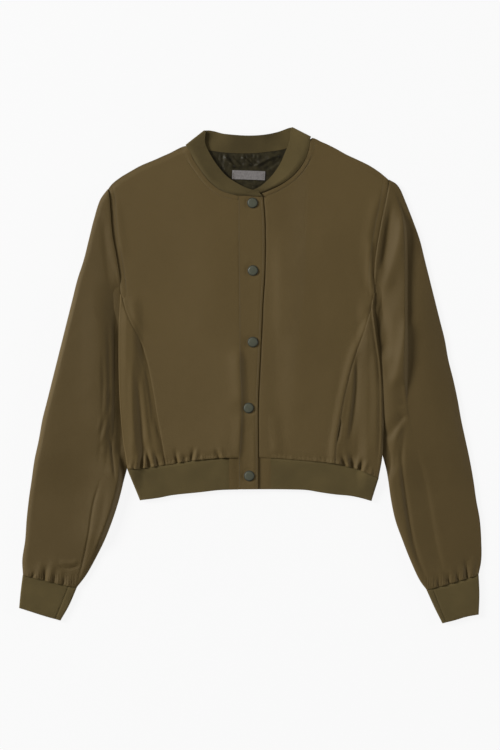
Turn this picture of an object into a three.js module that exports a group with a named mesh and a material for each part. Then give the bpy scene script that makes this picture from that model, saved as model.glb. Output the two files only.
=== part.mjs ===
import * as THREE from 'three';

// Cropped bomber jacket laid flat on its back, snaps fastened. Millimetres, +Z up, +Y towards the collar.
// The wearer's right is at negative X, and that front laps over the other one.

// Cloth walls and the heights of the middle of each layer
const SHELL_WALL = 1.4;
const SLEEVE_WALL = 1.3;
const RIB_WALL = 2.0;
const LINING_WALL = 1.0;
const LABEL_WALL = 0.6;
const BACK_MID = SHELL_WALL / 2;
const FRONT_MID = 3.9;
const SHOULDER_MID = 2.45;
const PLACKET_MID = 5.95;
const LINING_MID = 2.25;
const LABEL_MID = 3.4;
const RIB_BACK_MID = RIB_WALL / 2;
const RIB_FRONT_MID = 4.3;
const TAB_MID = 3.9;

// Half of the gap left at every seam
const SEAM = 0.31;

// The body's sides rise over the sleeves, which are tucked under them
const TUCK_LIFT = 4.0;
const TUCK_FROM_X = 148;
const TUCK_FULL_X = 165;

// Seams and edges seen from above, each row is x, y
const SHOULDER_RIGHT = [[-199, 259], [-193, 267], [-182, 276], [-169, 284], [-153, 293], [-134, 301], [-116, 309], [-90, 321]];
const SHOULDER_LEFT = [[85.5, 332], [101, 326], [118, 318], [134, 309], [151, 301], [167, 293], [182, 283], [195, 272]];
const NECK_RIGHT = [[-88.5, 320], [-82, 304.5], [-69.5, 285], [-55.5, 268], [-39, 256.6], [-20, 251], [-17.4, 250.4]];
const NECK_LEFT = [[-11, 250.4], [4, 250.6], [17, 254.6], [28, 259], [44.8, 267.4], [61.6, 280], [75.6, 298.2], [82.6, 316.4],
  [84.4, 331]];
const NECK_BACK = [[-88.5, 320], [-80, 317.4], [-63, 314], [-42, 310], [-20, 308], [3, 308], [25, 310.4], [49, 315], [70, 322.6],
  [84.4, 331]];
const ARMHOLE_RIGHT = [[-199, 259], [-197, 248], [-193, 197], [-188, 169], [-182.5, 133], [-181, 113]];
const ARMHOLE_LEFT = [[195, 272], [193, 257], [188, 231], [182, 203], [176, 164], [174.5, 139], [174.5, 116]];
const SIDE_SEAM_RIGHT = [[-177.5, 105], [-173, 88], [-166, 72], [-157, 55], [-149, 36], [-142, 10], [-135, -27], [-129.5, -60],
  [-124, -90], [-118, -125.5]];
const SIDE_SEAM_LEFT = [[171, 107], [166, 84], [161, 66], [154, 47], [147, 27], [139, -1], [132, -31], [125.5, -66], [121, -94],
  [119, -123.6]];
const SIDE_FOLD_RIGHT = [[-180.2, 108], [-181.8, 90], [-182.6, 72], [-183, 54], [-183, 10], [-182, -26], [-180, -60],
  [-177, -90], [-171, -130.4]];
const SIDE_FOLD_LEFT = [[174, 110], [174.5, 92], [176.5, 72], [179.5, 50], [183, 26], [185.5, 0], [186.3, -30], [186, -90],
  [184, -116], [179, -143.5]];
const BACK_SEAM_RIGHT = [[-176.5, 105], [-171, 88], [-165, 70], [-160, 50], [-158, 10], [-154, -28], [-150, -84], [-146, -129.3]];
const BACK_SEAM_LEFT = [[170, 107], [165, 90], [160, 70], [157, 48], [156, 26], [154, -28], [152, -86], [150, -131.4]];
const PLACKET_SEAM = [[-17, 248.6], [-17, 180], [-16, 100], [-15, 4], [-13, -27], [-13, -63], [-15, -100], [-16.5, -115.5],
  [-16.5, -159.5]];
const PLACKET_EDGE = [[17.5, 248.6], [20, 217], [20, 147], [17.5, 105], [15, 49], [13, 7], [11, -35], [11, -115], [11, -159.5]];
const UNDERLAP_X = -10;
const HEM_SEAM = [[-171, -130.4], [-160, -131.2], [-149, -130.4], [-137, -128.5], [-123, -126.5], [-109, -124.5], [-90, -121],
  [-70, -118.5], [-42, -116], [-16, -115.5], [28, -116], [70, -119], [98, -121.5], [120, -124], [143, -129.5], [162, -136],
  [179, -143.5]];
const HEM_EDGE = [[-153, -175], [-129, -172], [-108, -168], [-70, -164], [-43, -161], [-7, -160], [56, -160], [80, -161],
  [98, -164], [119, -167], [140, -169], [155, -172], [169, -176]];
const TAB_X = 29;

// Sleeves and cuffs seen from above: the overarm fold, the underarm fold and the seam to the cuff
const SLEEVE_RIGHT_OUTER = [[-199.6, 259.2], [-209, 245], [-218, 217], [-225, 189], [-232, 161], [-241, 133], [-248, 105], [-255, 77],
  [-262, 49], [-269, 21], [-276, -7], [-283, -35], [-290, -63], [-295, -91], [-301, -119], [-305, -147], [-309, -175],
  [-312, -203], [-314, -231], [-318, -259], [-317, -280]];
const SLEEVE_RIGHT_INNER = [[-181.8, 113], [-183.6, 98], [-179, 84], [-172, 60], [-170, 0], [-168, -60], [-168.5, -95],
  [-172, -127], [-177, -147], [-184, -175], [-193, -203], [-204, -231], [-218, -259], [-230, -280], [-243, -297]];
const SLEEVE_LEFT_OUTER = [[195.6, 272.2], [204, 267], [210, 259], [216, 245], [227, 217], [237, 189], [244, 161], [251, 133],
  [258, 105], [265, 77], [272, 49], [277, 21], [284, -7], [290, -35], [295, -63], [301, -91], [307, -119], [312, -147],
  [316, -175], [321, -203], [323, -231], [323, -259], [319, -280]];
const SLEEVE_LEFT_INNER = [[175.3, 116], [176.8, 102], [173.5, 84], [168, 58], [168, 20], [170, -20], [174, -60], [180, -92],
  [186.5, -114], [191.5, -133], [194, -147], [198, -175], [204, -203], [214, -231], [225, -259], [238, -287], [247.5, -300]];
const CUFF_SEAM_RIGHT = [[-317, -280.6], [-290, -287], [-266, -293], [-243, -297.6]];
const CUFF_END_RIGHT = [[-322, -326], [-308, -330.5], [-286, -337.5], [-266, -343]];
const CUFF_SEAM_LEFT = [[319, -280.6], [296, -287], [270, -295], [247.5, -300.6]];
const CUFF_END_LEFT = [[319, -335], [303, -338], [286, -343], [270, -347]];

// Sizes of the flattened sleeve: thickness at its folds and the extra height of its middle
const SLEEVE_FOLD_MID = 3.0;
const SLEEVE_PUFF = 2.4;
const CUFF_MIDS = [1.0, 4.0];

// Largest soft folds of the front, each row is x0, y0, x1, y1, width, height
const FRONT_FOLDS = [
  [60, 225, 100, 20, 22, 1.3],
  [-62, 200, -96, 30, 26, 1.0],
  [-160, 215, -120, 120, 20, 0.9],
  [158, 205, 128, 110, 20, 0.9],
  [-40, -20, -52, -95, 14, 0.8],
  [62, -10, 72, -92, 16, 0.8],
];

// Gathers above the hem band: x, length, width, height
const HEM_GATHERS = [
  [-154, 30, 7, 1.2], [-139, 24, 6, 1.3], [-124, 28, 7, 1.1], [-100, 22, 7, 0.9], [-84, 26, 8, 0.8], [-60, 18, 8, 0.5],
  [-38, 22, 8, 0.7], [44, 16, 9, 0.4], [78, 20, 9, 0.6], [104, 22, 8, 0.7], [126, 26, 7, 1.1], [141, 24, 6, 1.2],
  [156, 30, 7, 1.2],
];

// Long folds of the sleeves: x0, y0, x1, y1, width, height
const SLEEVE_FOLDS = [
  [206, 262, 216, 197, 8, 1.6],
  [216, 197, 216, 35, 9, 1.9],
  [205, 200, 186, 112, 7, 0.8],
  [224, -110, 244, -250, 10, 1.0],
  [-222, 150, -236, 40, 13, 1.0],
  [-216, -110, -240, -262, 8, 1.2],
  [-262, 0, -284, -150, 16, 0.8],
  [262, 60, 288, -120, 16, 0.8],
];

// Gathers at the cuffs: x and y on the seam, x and y at the far end, width, height
const CUFF_GATHERS = [
  [-303, -282, -298, -244, 6, 1.2],
  [-282, -288, -276, -240, 7, 1.4],
  [-262, -292, -262, -262, 6, 1.0],
  [308, -282, 306, -246, 6, 1.1],
  [292, -288, 288, -238, 6, 1.3],
  [272, -294, 262, -252, 6, 1.2],
];

// Collar strip as sections: base x, y, z and free edge x, y, z, from the outer front end round the neck
const COLLAR_FRONT_RIGHT = [
  [17, 249.9, 7.4, 10.5, 257.4, 7.3],
  [8.4, 250.2, 7.4, 7.4, 257.8, 7.3],
  [-4, 251.2, 7.3, -4.2, 261.1, 7.3],
  [-20, 252, 6.9, -19.6, 268.8, 7.3],
  [-38.6, 257.6, 5.8, -33.6, 278.6, 7.3],
  [-54.9, 268.7, 5.2, -45.5, 292.6, 7.2],
  [-68.7, 285.5, 5.2, -55.5, 308, 7],
  [-80.8, 305.2, 5.2, -63, 325, 6.8],
];
const COLLAR_BACK = [
  [-62.8, 314.9, 1.4, -50.4, 341, 2.1],
  [-41.9, 310.9, 1.3, -36.4, 337.2, 2.2],
  [-20, 308.9, 1.3, -18.2, 335, 2.2],
  [3, 308.9, 1.3, 0, 334.3, 2.2],
  [24.9, 311.3, 1.3, 18.2, 335.4, 2.2],
  [48.8, 315.9, 1.4, 37.8, 339.6, 2.1],
];
const COLLAR_FRONT_LEFT = [
  [81.8, 316.7, 5.2, 55.3, 329, 6.8],
  [74.9, 298.6, 5.2, 49, 310.8, 6.9],
  [60.9, 280.6, 5.2, 40.6, 292.6, 6.6],
  [44.2, 268.1, 5, 28, 275.8, 6],
  [27.5, 259.8, 4.8, 14, 263.2, 5],
  [16.6, 255.5, 4.5, 4.2, 258.6, 4.5],
  [4, 251.4, 4.4, -4.2, 255.6, 4.4],
];
const COLLAR_FOLDS = [
  [-89.5, 321.2, -63.2, 343.2, 0.62, -0.78],
  [85, 332.6, 58.3, 347.4, -0.51, -0.86],
];
const COLLAR_FOLD_Z = [1.5, 5.2];

// Woven label: the middle, length, width and tilt in degrees
const LABEL = { x: -2, y: 279.5, length: 46, width: 12.5, tilt: -2 };

// Press-stud caps: x, y of each, and the outline of a cap as radius, height
const SNAPS = [[3.5, 240.5], [4, 146], [4, 46], [-2, -46], [-1, -141]];
const SNAP_PROFILE = [[7.2, 0], [7.5, 0.5], [7.3, 1.2], [6.1, 1.5], [5.2, 1.2], [4.4, 1.6]];
const SNAP_TOP = 1.9;
const SNAP_LIFT = 0.3;

// Colours of the materials
const MATERIALS = {
  shell: new THREE.MeshStandardMaterial({ name: 'shell', color: 0x5a4c32, roughness: 0.6 }),
  rib: new THREE.MeshStandardMaterial({ name: 'rib', color: 0x534b34, roughness: 0.9 }),
  lining: new THREE.MeshStandardMaterial({ name: 'lining', color: 0x312d21, roughness: 0.5 }),
  label: new THREE.MeshStandardMaterial({ name: 'label', color: 0x777370, roughness: 0.8 }),
  snap: new THREE.MeshStandardMaterial({ name: 'snap', color: 0x4b4d3f, roughness: 0.45 }),
};

const mix = (a, b, t) => a + (b - a) * t;
const clamp = (v, low, high) => Math.min(high, Math.max(low, v));

// Eases from 0 at a to 1 at b
function ease(a, b, v) {
  const t = clamp((v - a) / (b - a), 0, 1);
  return t * t * (3 - 2 * t);
}

// A smooth line through x, y rows, read by its share of length
function line(points) {
  const spline = new THREE.CatmullRomCurve3(points.map(([x, y]) => new THREE.Vector3(x, y, 0)), false, 'centripetal');
  return (t) => spline.getPointAt(clamp(t, 0, 1));
}

// The same rows moved sideways, to the left of their direction
function offset(points, distance) {
  return points.map(([x, y], i) => {
    const a = points[Math.max(0, i - 1)];
    const b = points[Math.min(points.length - 1, i + 1)];
    const length = Math.hypot(b[0] - a[0], b[1] - a[1]);
    return [x - (b[1] - a[1]) / length * distance, y + (b[0] - a[0]) / length * distance];
  });
}

// The y of a line of rows at one x
function heightAt(points, x) {
  let i = 1;
  while (i < points.length - 1 && points[i][0] < x) i += 1;
  const [x0, y0] = points[i - 1];
  const [x1, y1] = points[i];
  return mix(y0, y1, clamp((x - x0) / (x1 - x0), 0, 1));
}

// How far x, y is from the stretch x0, y0 to x1, y1
function distance(x, y, x0, y0, x1, y1) {
  const dx = x1 - x0;
  const dy = y1 - y0;
  const t = clamp(((x - x0) * dx + (y - y0) * dy) / (dx * dx + dy * dy), 0, 1);
  return Math.hypot(x - x0 - dx * t, y - y0 - dy * t);
}

// How far x, y is from a line of rows
function distanceToLine(points, x, y) {
  let least = Infinity;
  for (let i = 1; i < points.length; i += 1) {
    least = Math.min(least, distance(x, y, ...points[i - 1], ...points[i]));
  }
  return least;
}

// Sum of the soft ridges of a table at x, y
function ridges(table, x, y) {
  return table.reduce((sum, [x0, y0, x1, y1, width, height]) => {
    const d = distance(x, y, x0, y0, x1, y1) / width;
    return sum + height * Math.exp(-d * d);
  }, 0);
}

// Lift of the body over the tucked sleeves
function lift(x, y) {
  const side = ease(TUCK_FROM_X, TUCK_FULL_X, Math.abs(x));
  const top = 1 - ease(96, 108, y);
  const bottom = ease(-172, -136, y);
  return TUCK_LIFT * side * top * bottom;
}

// Gathers of the body above the hem band
function gathers(x, y) {
  const above = y - heightAt(HEM_SEAM, x);
  const pouch = 0.7 * ease(0, 14, above) * (1 - ease(20, 60, above));
  return pouch + HEM_GATHERS.reduce((sum, [middle, length, width, height]) => {
    const d = (x - middle) / width;
    return sum + height * Math.exp(-d * d) * ease(-2, 8, above) * (1 - ease(length * 0.4, length, above));
  }, 0);
}

// Middle height of the upper cloth of the body, rolled down at the shoulders
function frontHeight(x, y) {
  const shoulder = Math.min(distanceToLine(SHOULDER_RIGHT, x, y), distanceToLine(SHOULDER_LEFT, x, y));
  const roll = (FRONT_MID - SHOULDER_MID) * (1 - ease(0, 9, shoulder)) * ease(100, 140, y);
  const inside = ease(0, 24, shoulder);
  return FRONT_MID - roll + lift(x, y) + gathers(x, y) + ridges(FRONT_FOLDS, x, y) * inside;
}

// The lapped front also climbs onto the placket
function lappedHeight(x, y) {
  const climb = (PLACKET_MID - FRONT_MID) * ease(-50, -20, x);
  const flat = ease(-50, -20, x);
  return mix(frontHeight(x, y), FRONT_MID, flat) + climb;
}

// The other front lies flat where the placket covers it
function coveredHeight(x, y) {
  return mix(FRONT_MID, frontHeight(x, y), ease(21, 44, x));
}

function backHeight(x, y) {
  return BACK_MID + lift(x, y);
}

// A patch between four lines: top and bottom run the same way, left and right run down from the top
function patch(top, bottom, left, right) {
  const corner = { a: top(0), b: top(1), c: bottom(0), d: bottom(1) };
  return (u, v) => {
    const point = new THREE.Vector3();
    point.addScaledVector(top(u), 1 - v).addScaledVector(bottom(u), v);
    point.addScaledVector(left(v), 1 - u).addScaledVector(right(v), u);
    point.addScaledVector(corner.a, -(1 - u) * (1 - v)).addScaledVector(corner.b, -u * (1 - v));
    point.addScaledVector(corner.c, -(1 - u) * v).addScaledVector(corner.d, -u * v);
    return point;
  };
}

// Even steps from 0 to 1
function steps(count) {
  return Array.from({ length: count + 1 }, (_, i) => i / count);
}

// A grid of middle points over a patch, with its heights
function sheet(plan, columns, rows, height) {
  return rows.map((v) => columns.map((u) => {
    const point = plan(u, v);
    point.z = height(point.x, point.y);
    return point;
  }));
}

function mesh(name, positions, faces, material) {
  const geometry = new THREE.BufferGeometry();
  geometry.setAttribute('position', new THREE.Float32BufferAttribute(positions.flatMap((p) => [p.x, p.y, p.z]), 3));
  geometry.setIndex(faces.flat());
  geometry.computeVertexNormals();
  const body = new THREE.Mesh(geometry, MATERIALS[material]);
  body.name = name;
  return body;
}

// A closed cloth wall with the grid in its middle. A ring joins its last column to its first.
function wall(name, grid, thickness, material, ring = false) {
  const rows = grid.length;
  const columns = grid[0].length;
  const at = (r, c) => grid[clamp(r, 0, rows - 1)][ring ? (c + columns) % columns : clamp(c, 0, columns - 1)];
  const turn = (before, here, after) => {
    const first = new THREE.Vector3().subVectors(here, before).normalize();
    const second = new THREE.Vector3().subVectors(after, here).normalize();
    return first.add(second);
  };
  const outer = [];
  const inner = [];
  for (let r = 0; r < rows; r += 1) {
    for (let c = 0; c < columns; c += 1) {
      const across = turn(at(r, c - 1), at(r, c), at(r, c + 1));
      const along = turn(at(r - 1, c), at(r, c), at(r + 1, c));
      const normal = across.cross(along).normalize().multiplyScalar(thickness / 2);
      outer.push(at(r, c).clone().add(normal));
      inner.push(at(r, c).clone().sub(normal));
    }
  }
  const half = rows * columns;
  const faces = [];
  const quad = (a, b, c, d) => faces.push([a, b, c], [a, c, d]);
  const lastColumn = ring ? columns : columns - 1;
  for (let r = 0; r < rows - 1; r += 1) {
    for (let c = 0; c < lastColumn; c += 1) {
      const next = (c + 1) % columns;
      const a = r * columns + c;
      const b = r * columns + next;
      const d = a + columns;
      const e = b + columns;
      quad(a, b, e, d);
      quad(half + a, half + d, half + e, half + b);
    }
    if (!ring) {
      const a = r * columns;
      const b = a + columns - 1;
      quad(half + a, a, a + columns, half + a + columns);
      quad(b, half + b, half + b + columns, b + columns);
    }
  }
  for (let c = 0; c < lastColumn; c += 1) {
    const next = (c + 1) % columns;
    const end = (rows - 1) * columns;
    quad(half + c, half + next, next, c);
    quad(end + c, end + next, half + end + next, half + end + c);
  }
  return mesh(name, [...outer, ...inner], faces, material);
}

// A row of points along the upper layer to a folded edge, round it and back along the lower layer.
// The upper path ends at the edge and the lower one starts there.
function foldedRow(upperPath, lowerPath, upperSteps, lowerSteps, upper, lower) {
  const edge = upperPath(1);
  const high = upper(edge.x, edge.y);
  const low = lower(edge.x, edge.y);
  const radius = (high - low) / 2;
  const upperLength = upperPath(0.5).distanceTo(edge) * 2;
  const lowerLength = lowerPath(0.5).distanceTo(edge) * 2;
  const run = (plan, height) => {
    const point = plan.clone();
    point.z = height(point.x, point.y);
    return point;
  };
  const bend = (degrees) => {
    const angle = THREE.MathUtils.degToRad(degrees);
    const inset = radius * (1 - Math.cos(angle));
    const point = degrees > 0 ? upperPath(1 - inset / upperLength) : lowerPath(inset / lowerLength);
    point.z = (low + high) / 2 + radius * Math.sin(angle);
    return point;
  };
  return [
    ...steps(upperSteps).map((t) => run(upperPath(t * (1 - radius / upperLength)), upper)),
    ...[45, 0, -45].map(bend),
    ...steps(lowerSteps).map((t) => run(lowerPath(mix(radius / lowerLength, 1, t)), lower)),
  ];
}

// One loop of a flattened tube: over the upper layer from the outer fold to the inner one, then back underneath
function tubeLoop(plan, v, interior, low, high) {
  const radius = [0, 1].map((u) => (high(u, v) - low) / 2 / slope(plan, u, v));
  const bend = 1 - Math.SQRT1_2;
  const inside = steps(interior).slice(1, -1).map((t) => [mix(radius[0], 1 - radius[1], t), 1]);
  const stops = [[0, 0], [radius[0] * bend, Math.SQRT1_2], [radius[0], 1], ...inside,
    [1 - radius[1], 1], [1 - radius[1] * bend, Math.SQRT1_2], [1, 0]];
  const upper = stops.map(([u, rise]) => {
    const point = plan(u, v);
    point.z = mix(low, high(u, v), 0.5 + rise / 2);
    return point;
  });
  const lower = stops.slice(1, -1).reverse().map(([u, rise]) => {
    const point = plan(u, v);
    point.z = rise === 1 ? low : mix(low, high(u, v), 0.5 - rise / 2);
    return point;
  });
  return [...upper, ...lower];
}

// How fast u leaves its fold, square to it, in millimetres for the whole of u
function slope(plan, u, v) {
  const step = 0.02;
  const near = plan(u, v);
  const along = plan(u, clamp(v + 0.01, 0, 1)).sub(plan(u, clamp(v - 0.01, 0, 1))).normalize();
  const across = plan(u ? 1 - step : step, v).sub(near);
  return across.addScaledVector(along, -across.dot(along)).length() / step;
}

// A line made of two lines of rows, one after the other
const joined = (...tables) => line(tables.flat());

const PANEL_ROWS = [0, 0.012, 0.03, 0.07, 0.13, 0.2, 0.27, 0.33, 0.37, 0.4, 0.425, 0.45, 0.475, 0.505, 0.54, 0.58, 0.63, 0.69,
  0.76, 0.82, 0.87, 0.91, 0.945, 0.975, 1];
const BACK_COLUMNS = [0, 0.015, 0.03, 0.05, 0.08, 0.13, 0.21, 0.29, 0.33, 0.37, 0.41, 0.46, 0.53, 0.58, 0.62, 0.66, 0.7, 0.79,
  0.87, 0.92, 0.95, 0.97, 0.985, 1];
const BACK_ROWS = [0, 0.07, 0.16, 0.25, 0.33, 0.37, 0.4, 0.425, 0.45, 0.475, 0.505, 0.54, 0.6, 0.7, 0.8, 0.9, 0.96, 1];

// The part of the hem seam between two x, moved up or down by half the gap
function hemLine(from, to, up) {
  const inner = HEM_SEAM.map(([x]) => x).filter((x) => x > from + 3 && x < to - 3);
  return [from, ...inner, to].map((x) => [x, heightAt(HEM_SEAM, x) + up]);
}

function frontRight() {
  const top = joined(offset(SHOULDER_RIGHT.slice(0, -1), -0.3), offset(NECK_RIGHT, -SEAM * 3));
  const left = joined(offset(ARMHOLE_RIGHT.slice(0, -1), SEAM * 2), [[-179.6, 113]], offset(SIDE_SEAM_RIGHT, SEAM));
  const right = line([[-17.5, 249], ...offset(PLACKET_SEAM.slice(1, -1), -SEAM * 1.5)]);
  const bottom = line(hemLine(-118 + SEAM, -16.8, SEAM));
  return wall('front_right', sheet(patch(top, bottom, left, right), steps(14), PANEL_ROWS, lappedHeight), SHELL_WALL, 'shell');
}

function frontLeft() {
  const top = joined(offset(NECK_LEFT.slice(0, -1), -SEAM * 2.5), offset(SHOULDER_LEFT, -0.3));
  const left = line([[UNDERLAP_X, 249.9], [UNDERLAP_X, 60], [UNDERLAP_X, -115.2]]);
  const right = joined(offset(ARMHOLE_LEFT.slice(0, -1), -SEAM * 2), [[173.4, 116]], offset(SIDE_SEAM_LEFT, -SEAM));
  const bottom = line(hemLine(UNDERLAP_X, 119 - SEAM, SEAM));
  return wall('front_left', sheet(patch(top, bottom, left, right), steps(15), PANEL_ROWS, coveredHeight), SHELL_WALL, 'shell');
}

function back() {
  const top = joined(offset(SHOULDER_RIGHT.slice(0, -1), -0.3), offset(NECK_BACK, -SEAM * 2.2), offset(SHOULDER_LEFT.slice(1), -0.3));
  const left = joined(offset(ARMHOLE_RIGHT.slice(0, -1), SEAM * 2), [[-179.4, 114]], offset(BACK_SEAM_RIGHT, SEAM * 1.5));
  const right = joined(offset(ARMHOLE_LEFT.slice(0, -1), -SEAM * 2), [[173.2, 118]], offset(BACK_SEAM_LEFT, -SEAM * 1.5));
  const bottom = line(hemLine(-145.7, 149.7, SEAM));
  return wall('back', sheet(patch(top, bottom, left, right), BACK_COLUMNS, BACK_ROWS, backHeight), SHELL_WALL, 'shell');
}

// A curved side panel from its front seam, round the side fold, to its seam on the back
function sidePanel(name, frontSeam, sideFold, backSeam, side) {
  const seam = offset(frontSeam, -SEAM * side);
  const end = offset(backSeam, -SEAM * side);
  const last = sideFold.at(-1)[0];
  const frontEnd = hemLine(Math.min(frontSeam.at(-1)[0], last), Math.max(frontSeam.at(-1)[0], last), SEAM * 1.5);
  const backEnd = hemLine(Math.min(backSeam.at(-1)[0], last), Math.max(backSeam.at(-1)[0], last), SEAM * 1.5);
  if (side > 0) {
    frontEnd.reverse();
  } else {
    backEnd.reverse();
  }
  const upper = patch(line([seam[0], sideFold[0]]), line(frontEnd), line(seam), line(sideFold));
  const lower = patch(line([sideFold[0], end[0]]), line(side > 0 ? backEnd : backEnd.reverse()), line(sideFold), line(end));
  const rows = steps(20).map((v) => foldedRow((t) => upper(t, v), (t) => lower(t, v), 5, 3, frontHeight, backHeight));
  return wall(name, rows, SHELL_WALL, 'shell');
}

function placket() {
  const top = line([[-17 + SEAM, 248.6], [0, 248.9], [17.5, 248.6]]);
  const bottom = line([[-16.5, -159.6], [11, -159.6]]);
  const left = line(offset(PLACKET_SEAM, SEAM));
  const plan = patch(top, bottom, left, line(PLACKET_EDGE));
  return wall('placket', sheet(plan, steps(3), steps(18), () => PLACKET_MID), SHELL_WALL, 'shell');
}

// A point on the hem band, from its x at the seam, its x at the edge and its share of the depth
function hemPoint(seamX, edgeX, v) {
  const seam = new THREE.Vector3(seamX, heightAt(HEM_SEAM, seamX) - SEAM * 1.5, 0);
  const edge = new THREE.Vector3(edgeX, heightAt(HEM_EDGE, edgeX), 0);
  return seam.lerp(edge, v);
}

// The x of the band's side folds at the seam and at the edge
const HEM_SIDES = { right: [-171, -153], left: [179, 169] };

function ribHigh(x, y) {
  return RIB_FRONT_MID + lift(x, y);
}

function ribLow(x, y) {
  return RIB_BACK_MID + lift(x, y);
}

// Half of the ribbed band: from its end beside the placket, round one side fold, to the middle of the back
function hemHalf([seamX, edgeX], end, v) {
  const front = (t) => hemPoint(mix(end, seamX, t), mix(end, edgeX, t), v);
  const rear = (t) => hemPoint(mix(seamX, 0, t), mix(edgeX, 0, t), v);
  return foldedRow(front, rear, 11, 11, ribHigh, ribLow);
}

function hemRib() {
  const rows = steps(4).map((v) => [
    ...hemHalf(HEM_SIDES.right, -TAB_X - SEAM, v),
    ...hemHalf(HEM_SIDES.left, TAB_X + SEAM, v).reverse().slice(1),
  ]);
  return wall('hem_rib', rows, RIB_WALL, 'rib');
}

// A woven end of the hem band between two x
function hemTab(name, from, to, height) {
  const rows = steps(4).map((v) => steps(3).map((u) => {
    const x = mix(from, to, u);
    const point = hemPoint(x, x, v);
    point.z = height(x);
    return point;
  }));
  return wall(name, rows, SHELL_WALL, 'shell');
}

// Loops near the armhole fan round it, so the outer fold runs ahead of the inner one
const FAN = 1.4;

function sleeve(name, outerFold, innerFold, armhole, cuffSeam) {
  const outer = line(outerFold);
  const inner = line(innerFold);
  const plan = patch(line(armhole), line(cuffSeam), (t) => outer(1 - (1 - t) ** FAN), (t) => inner(t ** FAN));
  const low = SLEEVE_WALL / 2;
  const high = (u, v) => {
    const point = plan(u, v);
    const fromInner = distanceToLine(innerFold, point.x, point.y);
    const fromOuter = distanceToLine(outerFold, point.x, point.y);
    const puff = SLEEVE_PUFF * ease(15, 42, fromInner) * ease(0, 26, fromOuter) * (1 - 0.45 * ease(0.94, 1, v));
    const folds = ridges(SLEEVE_FOLDS, point.x, point.y) + ridges(CUFF_GATHERS, point.x, point.y);
    const mouth = 0.9 * (1 - ease(0, 0.05, v)) * (1 - ease(0.8, 1, u));
    const end = 0.8 * ease(0.94, 1, v);
    return SLEEVE_FOLD_MID + puff + folds * ease(14, 24, fromInner) * ease(3, 12, fromOuter) + mouth + end;
  };
  const rows = steps(22).map((v) => tubeLoop(plan, v, 8, low, high));
  return wall(name, rows, SLEEVE_WALL, 'shell', true);
}

function cuff(name, cuffSeam, end, outer, inner) {
  const plan = patch(line(cuffSeam), line(end), line(outer), line(inner));
  const rows = steps(4).map((v) => tubeLoop(plan, v, 6, CUFF_MIDS[0], () => CUFF_MIDS[1]));
  return wall(name, rows, RIB_WALL, 'rib', true);
}

// The sections round one fold of the collar, from the front part to the back one
function collarFold([x0, y0, x1, y1, inX, inY]) {
  const [low, high] = COLLAR_FOLD_Z;
  const radius = (high - low) / 2;
  return [90, 45, 0, -45, -90].map((degrees) => {
    const angle = THREE.MathUtils.degToRad(degrees);
    const inset = radius * (1 - Math.cos(angle));
    const rise = radius * Math.sin(angle);
    const middle = (low + high) / 2;
    const top = middle + 0.8 + rise * 0.95;
    return [x0 + inX * inset, y0 + inY * inset, middle + rise, x1 + inX * inset, y1 + inY * inset, top];
  });
}

function collar() {
  const sections = [
    ...COLLAR_FRONT_RIGHT,
    ...collarFold(COLLAR_FOLDS[0]),
    ...COLLAR_BACK,
    ...collarFold(COLLAR_FOLDS[1]).reverse(),
    ...COLLAR_FRONT_LEFT,
  ];
  const rows = sections.map(([x0, y0, z0, x1, y1, z1]) => steps(3).map((t) => {
    const point = new THREE.Vector3(x0, y0, z0).lerp(new THREE.Vector3(x1, y1, z1), t);
    return point;
  }));
  return wall('collar', rows, RIB_WALL, 'rib');
}

function liningBack() {
  const top = line([[-73, 314.9], [-63, 312.6], [-42, 308.6], [-20, 306.7], [3, 306.7], [25, 309], [49, 313.6], [64, 318]]);
  const bottom = line([[-92, 236], [0, 234], [88, 236]]);
  const left = line([[-73, 314.9], [-84, 285], [-92, 236]]);
  const right = line([[64, 318], [80, 285], [88, 236]]);
  const plan = patch(top, bottom, left, right);
  return wall('lining_back', sheet(plan, steps(10), steps(6), () => LINING_MID), LINING_WALL, 'lining');
}

function label() {
  const tilt = THREE.MathUtils.degToRad(LABEL.tilt);
  const rows = [1, 0, -1].map((v) => [-1, -0.33, 0.33, 1].map((u) => {
    const x = u * LABEL.length / 2;
    const y = v * LABEL.width / 2;
    return new THREE.Vector3(LABEL.x + x * Math.cos(tilt) - y * Math.sin(tilt), LABEL.y + x * Math.sin(tilt) + y * Math.cos(tilt),
      LABEL_MID);
  }));
  return wall('label', rows, LABEL_WALL, 'label');
}

// A press-stud cap turned from its outline
function snap(name, x, y) {
  const sides = 20;
  const base = PLACKET_MID + SHELL_WALL / 2 + SNAP_LIFT;
  const positions = SNAP_PROFILE.flatMap(([radius, height]) => steps(sides).slice(0, -1).map((t) => {
    const angle = t * Math.PI * 2;
    return new THREE.Vector3(x + radius * Math.cos(angle), y + radius * Math.sin(angle), base + height);
  }));
  const bottom = positions.push(new THREE.Vector3(x, y, base)) - 1;
  const top = positions.push(new THREE.Vector3(x, y, base + SNAP_TOP)) - 1;
  const last = (SNAP_PROFILE.length - 1) * sides;
  const faces = [];
  for (let i = 0; i < sides; i += 1) {
    const j = (i + 1) % sides;
    faces.push([bottom, j, i], [top, last + i, last + j]);
    for (let k = 0; k < SNAP_PROFILE.length - 1; k += 1) {
      const a = k * sides;
      faces.push([a + i, a + j, a + sides + j], [a + i, a + sides + j, a + sides + i]);
    }
  }
  return mesh(name, positions, faces, 'snap');
}

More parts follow.
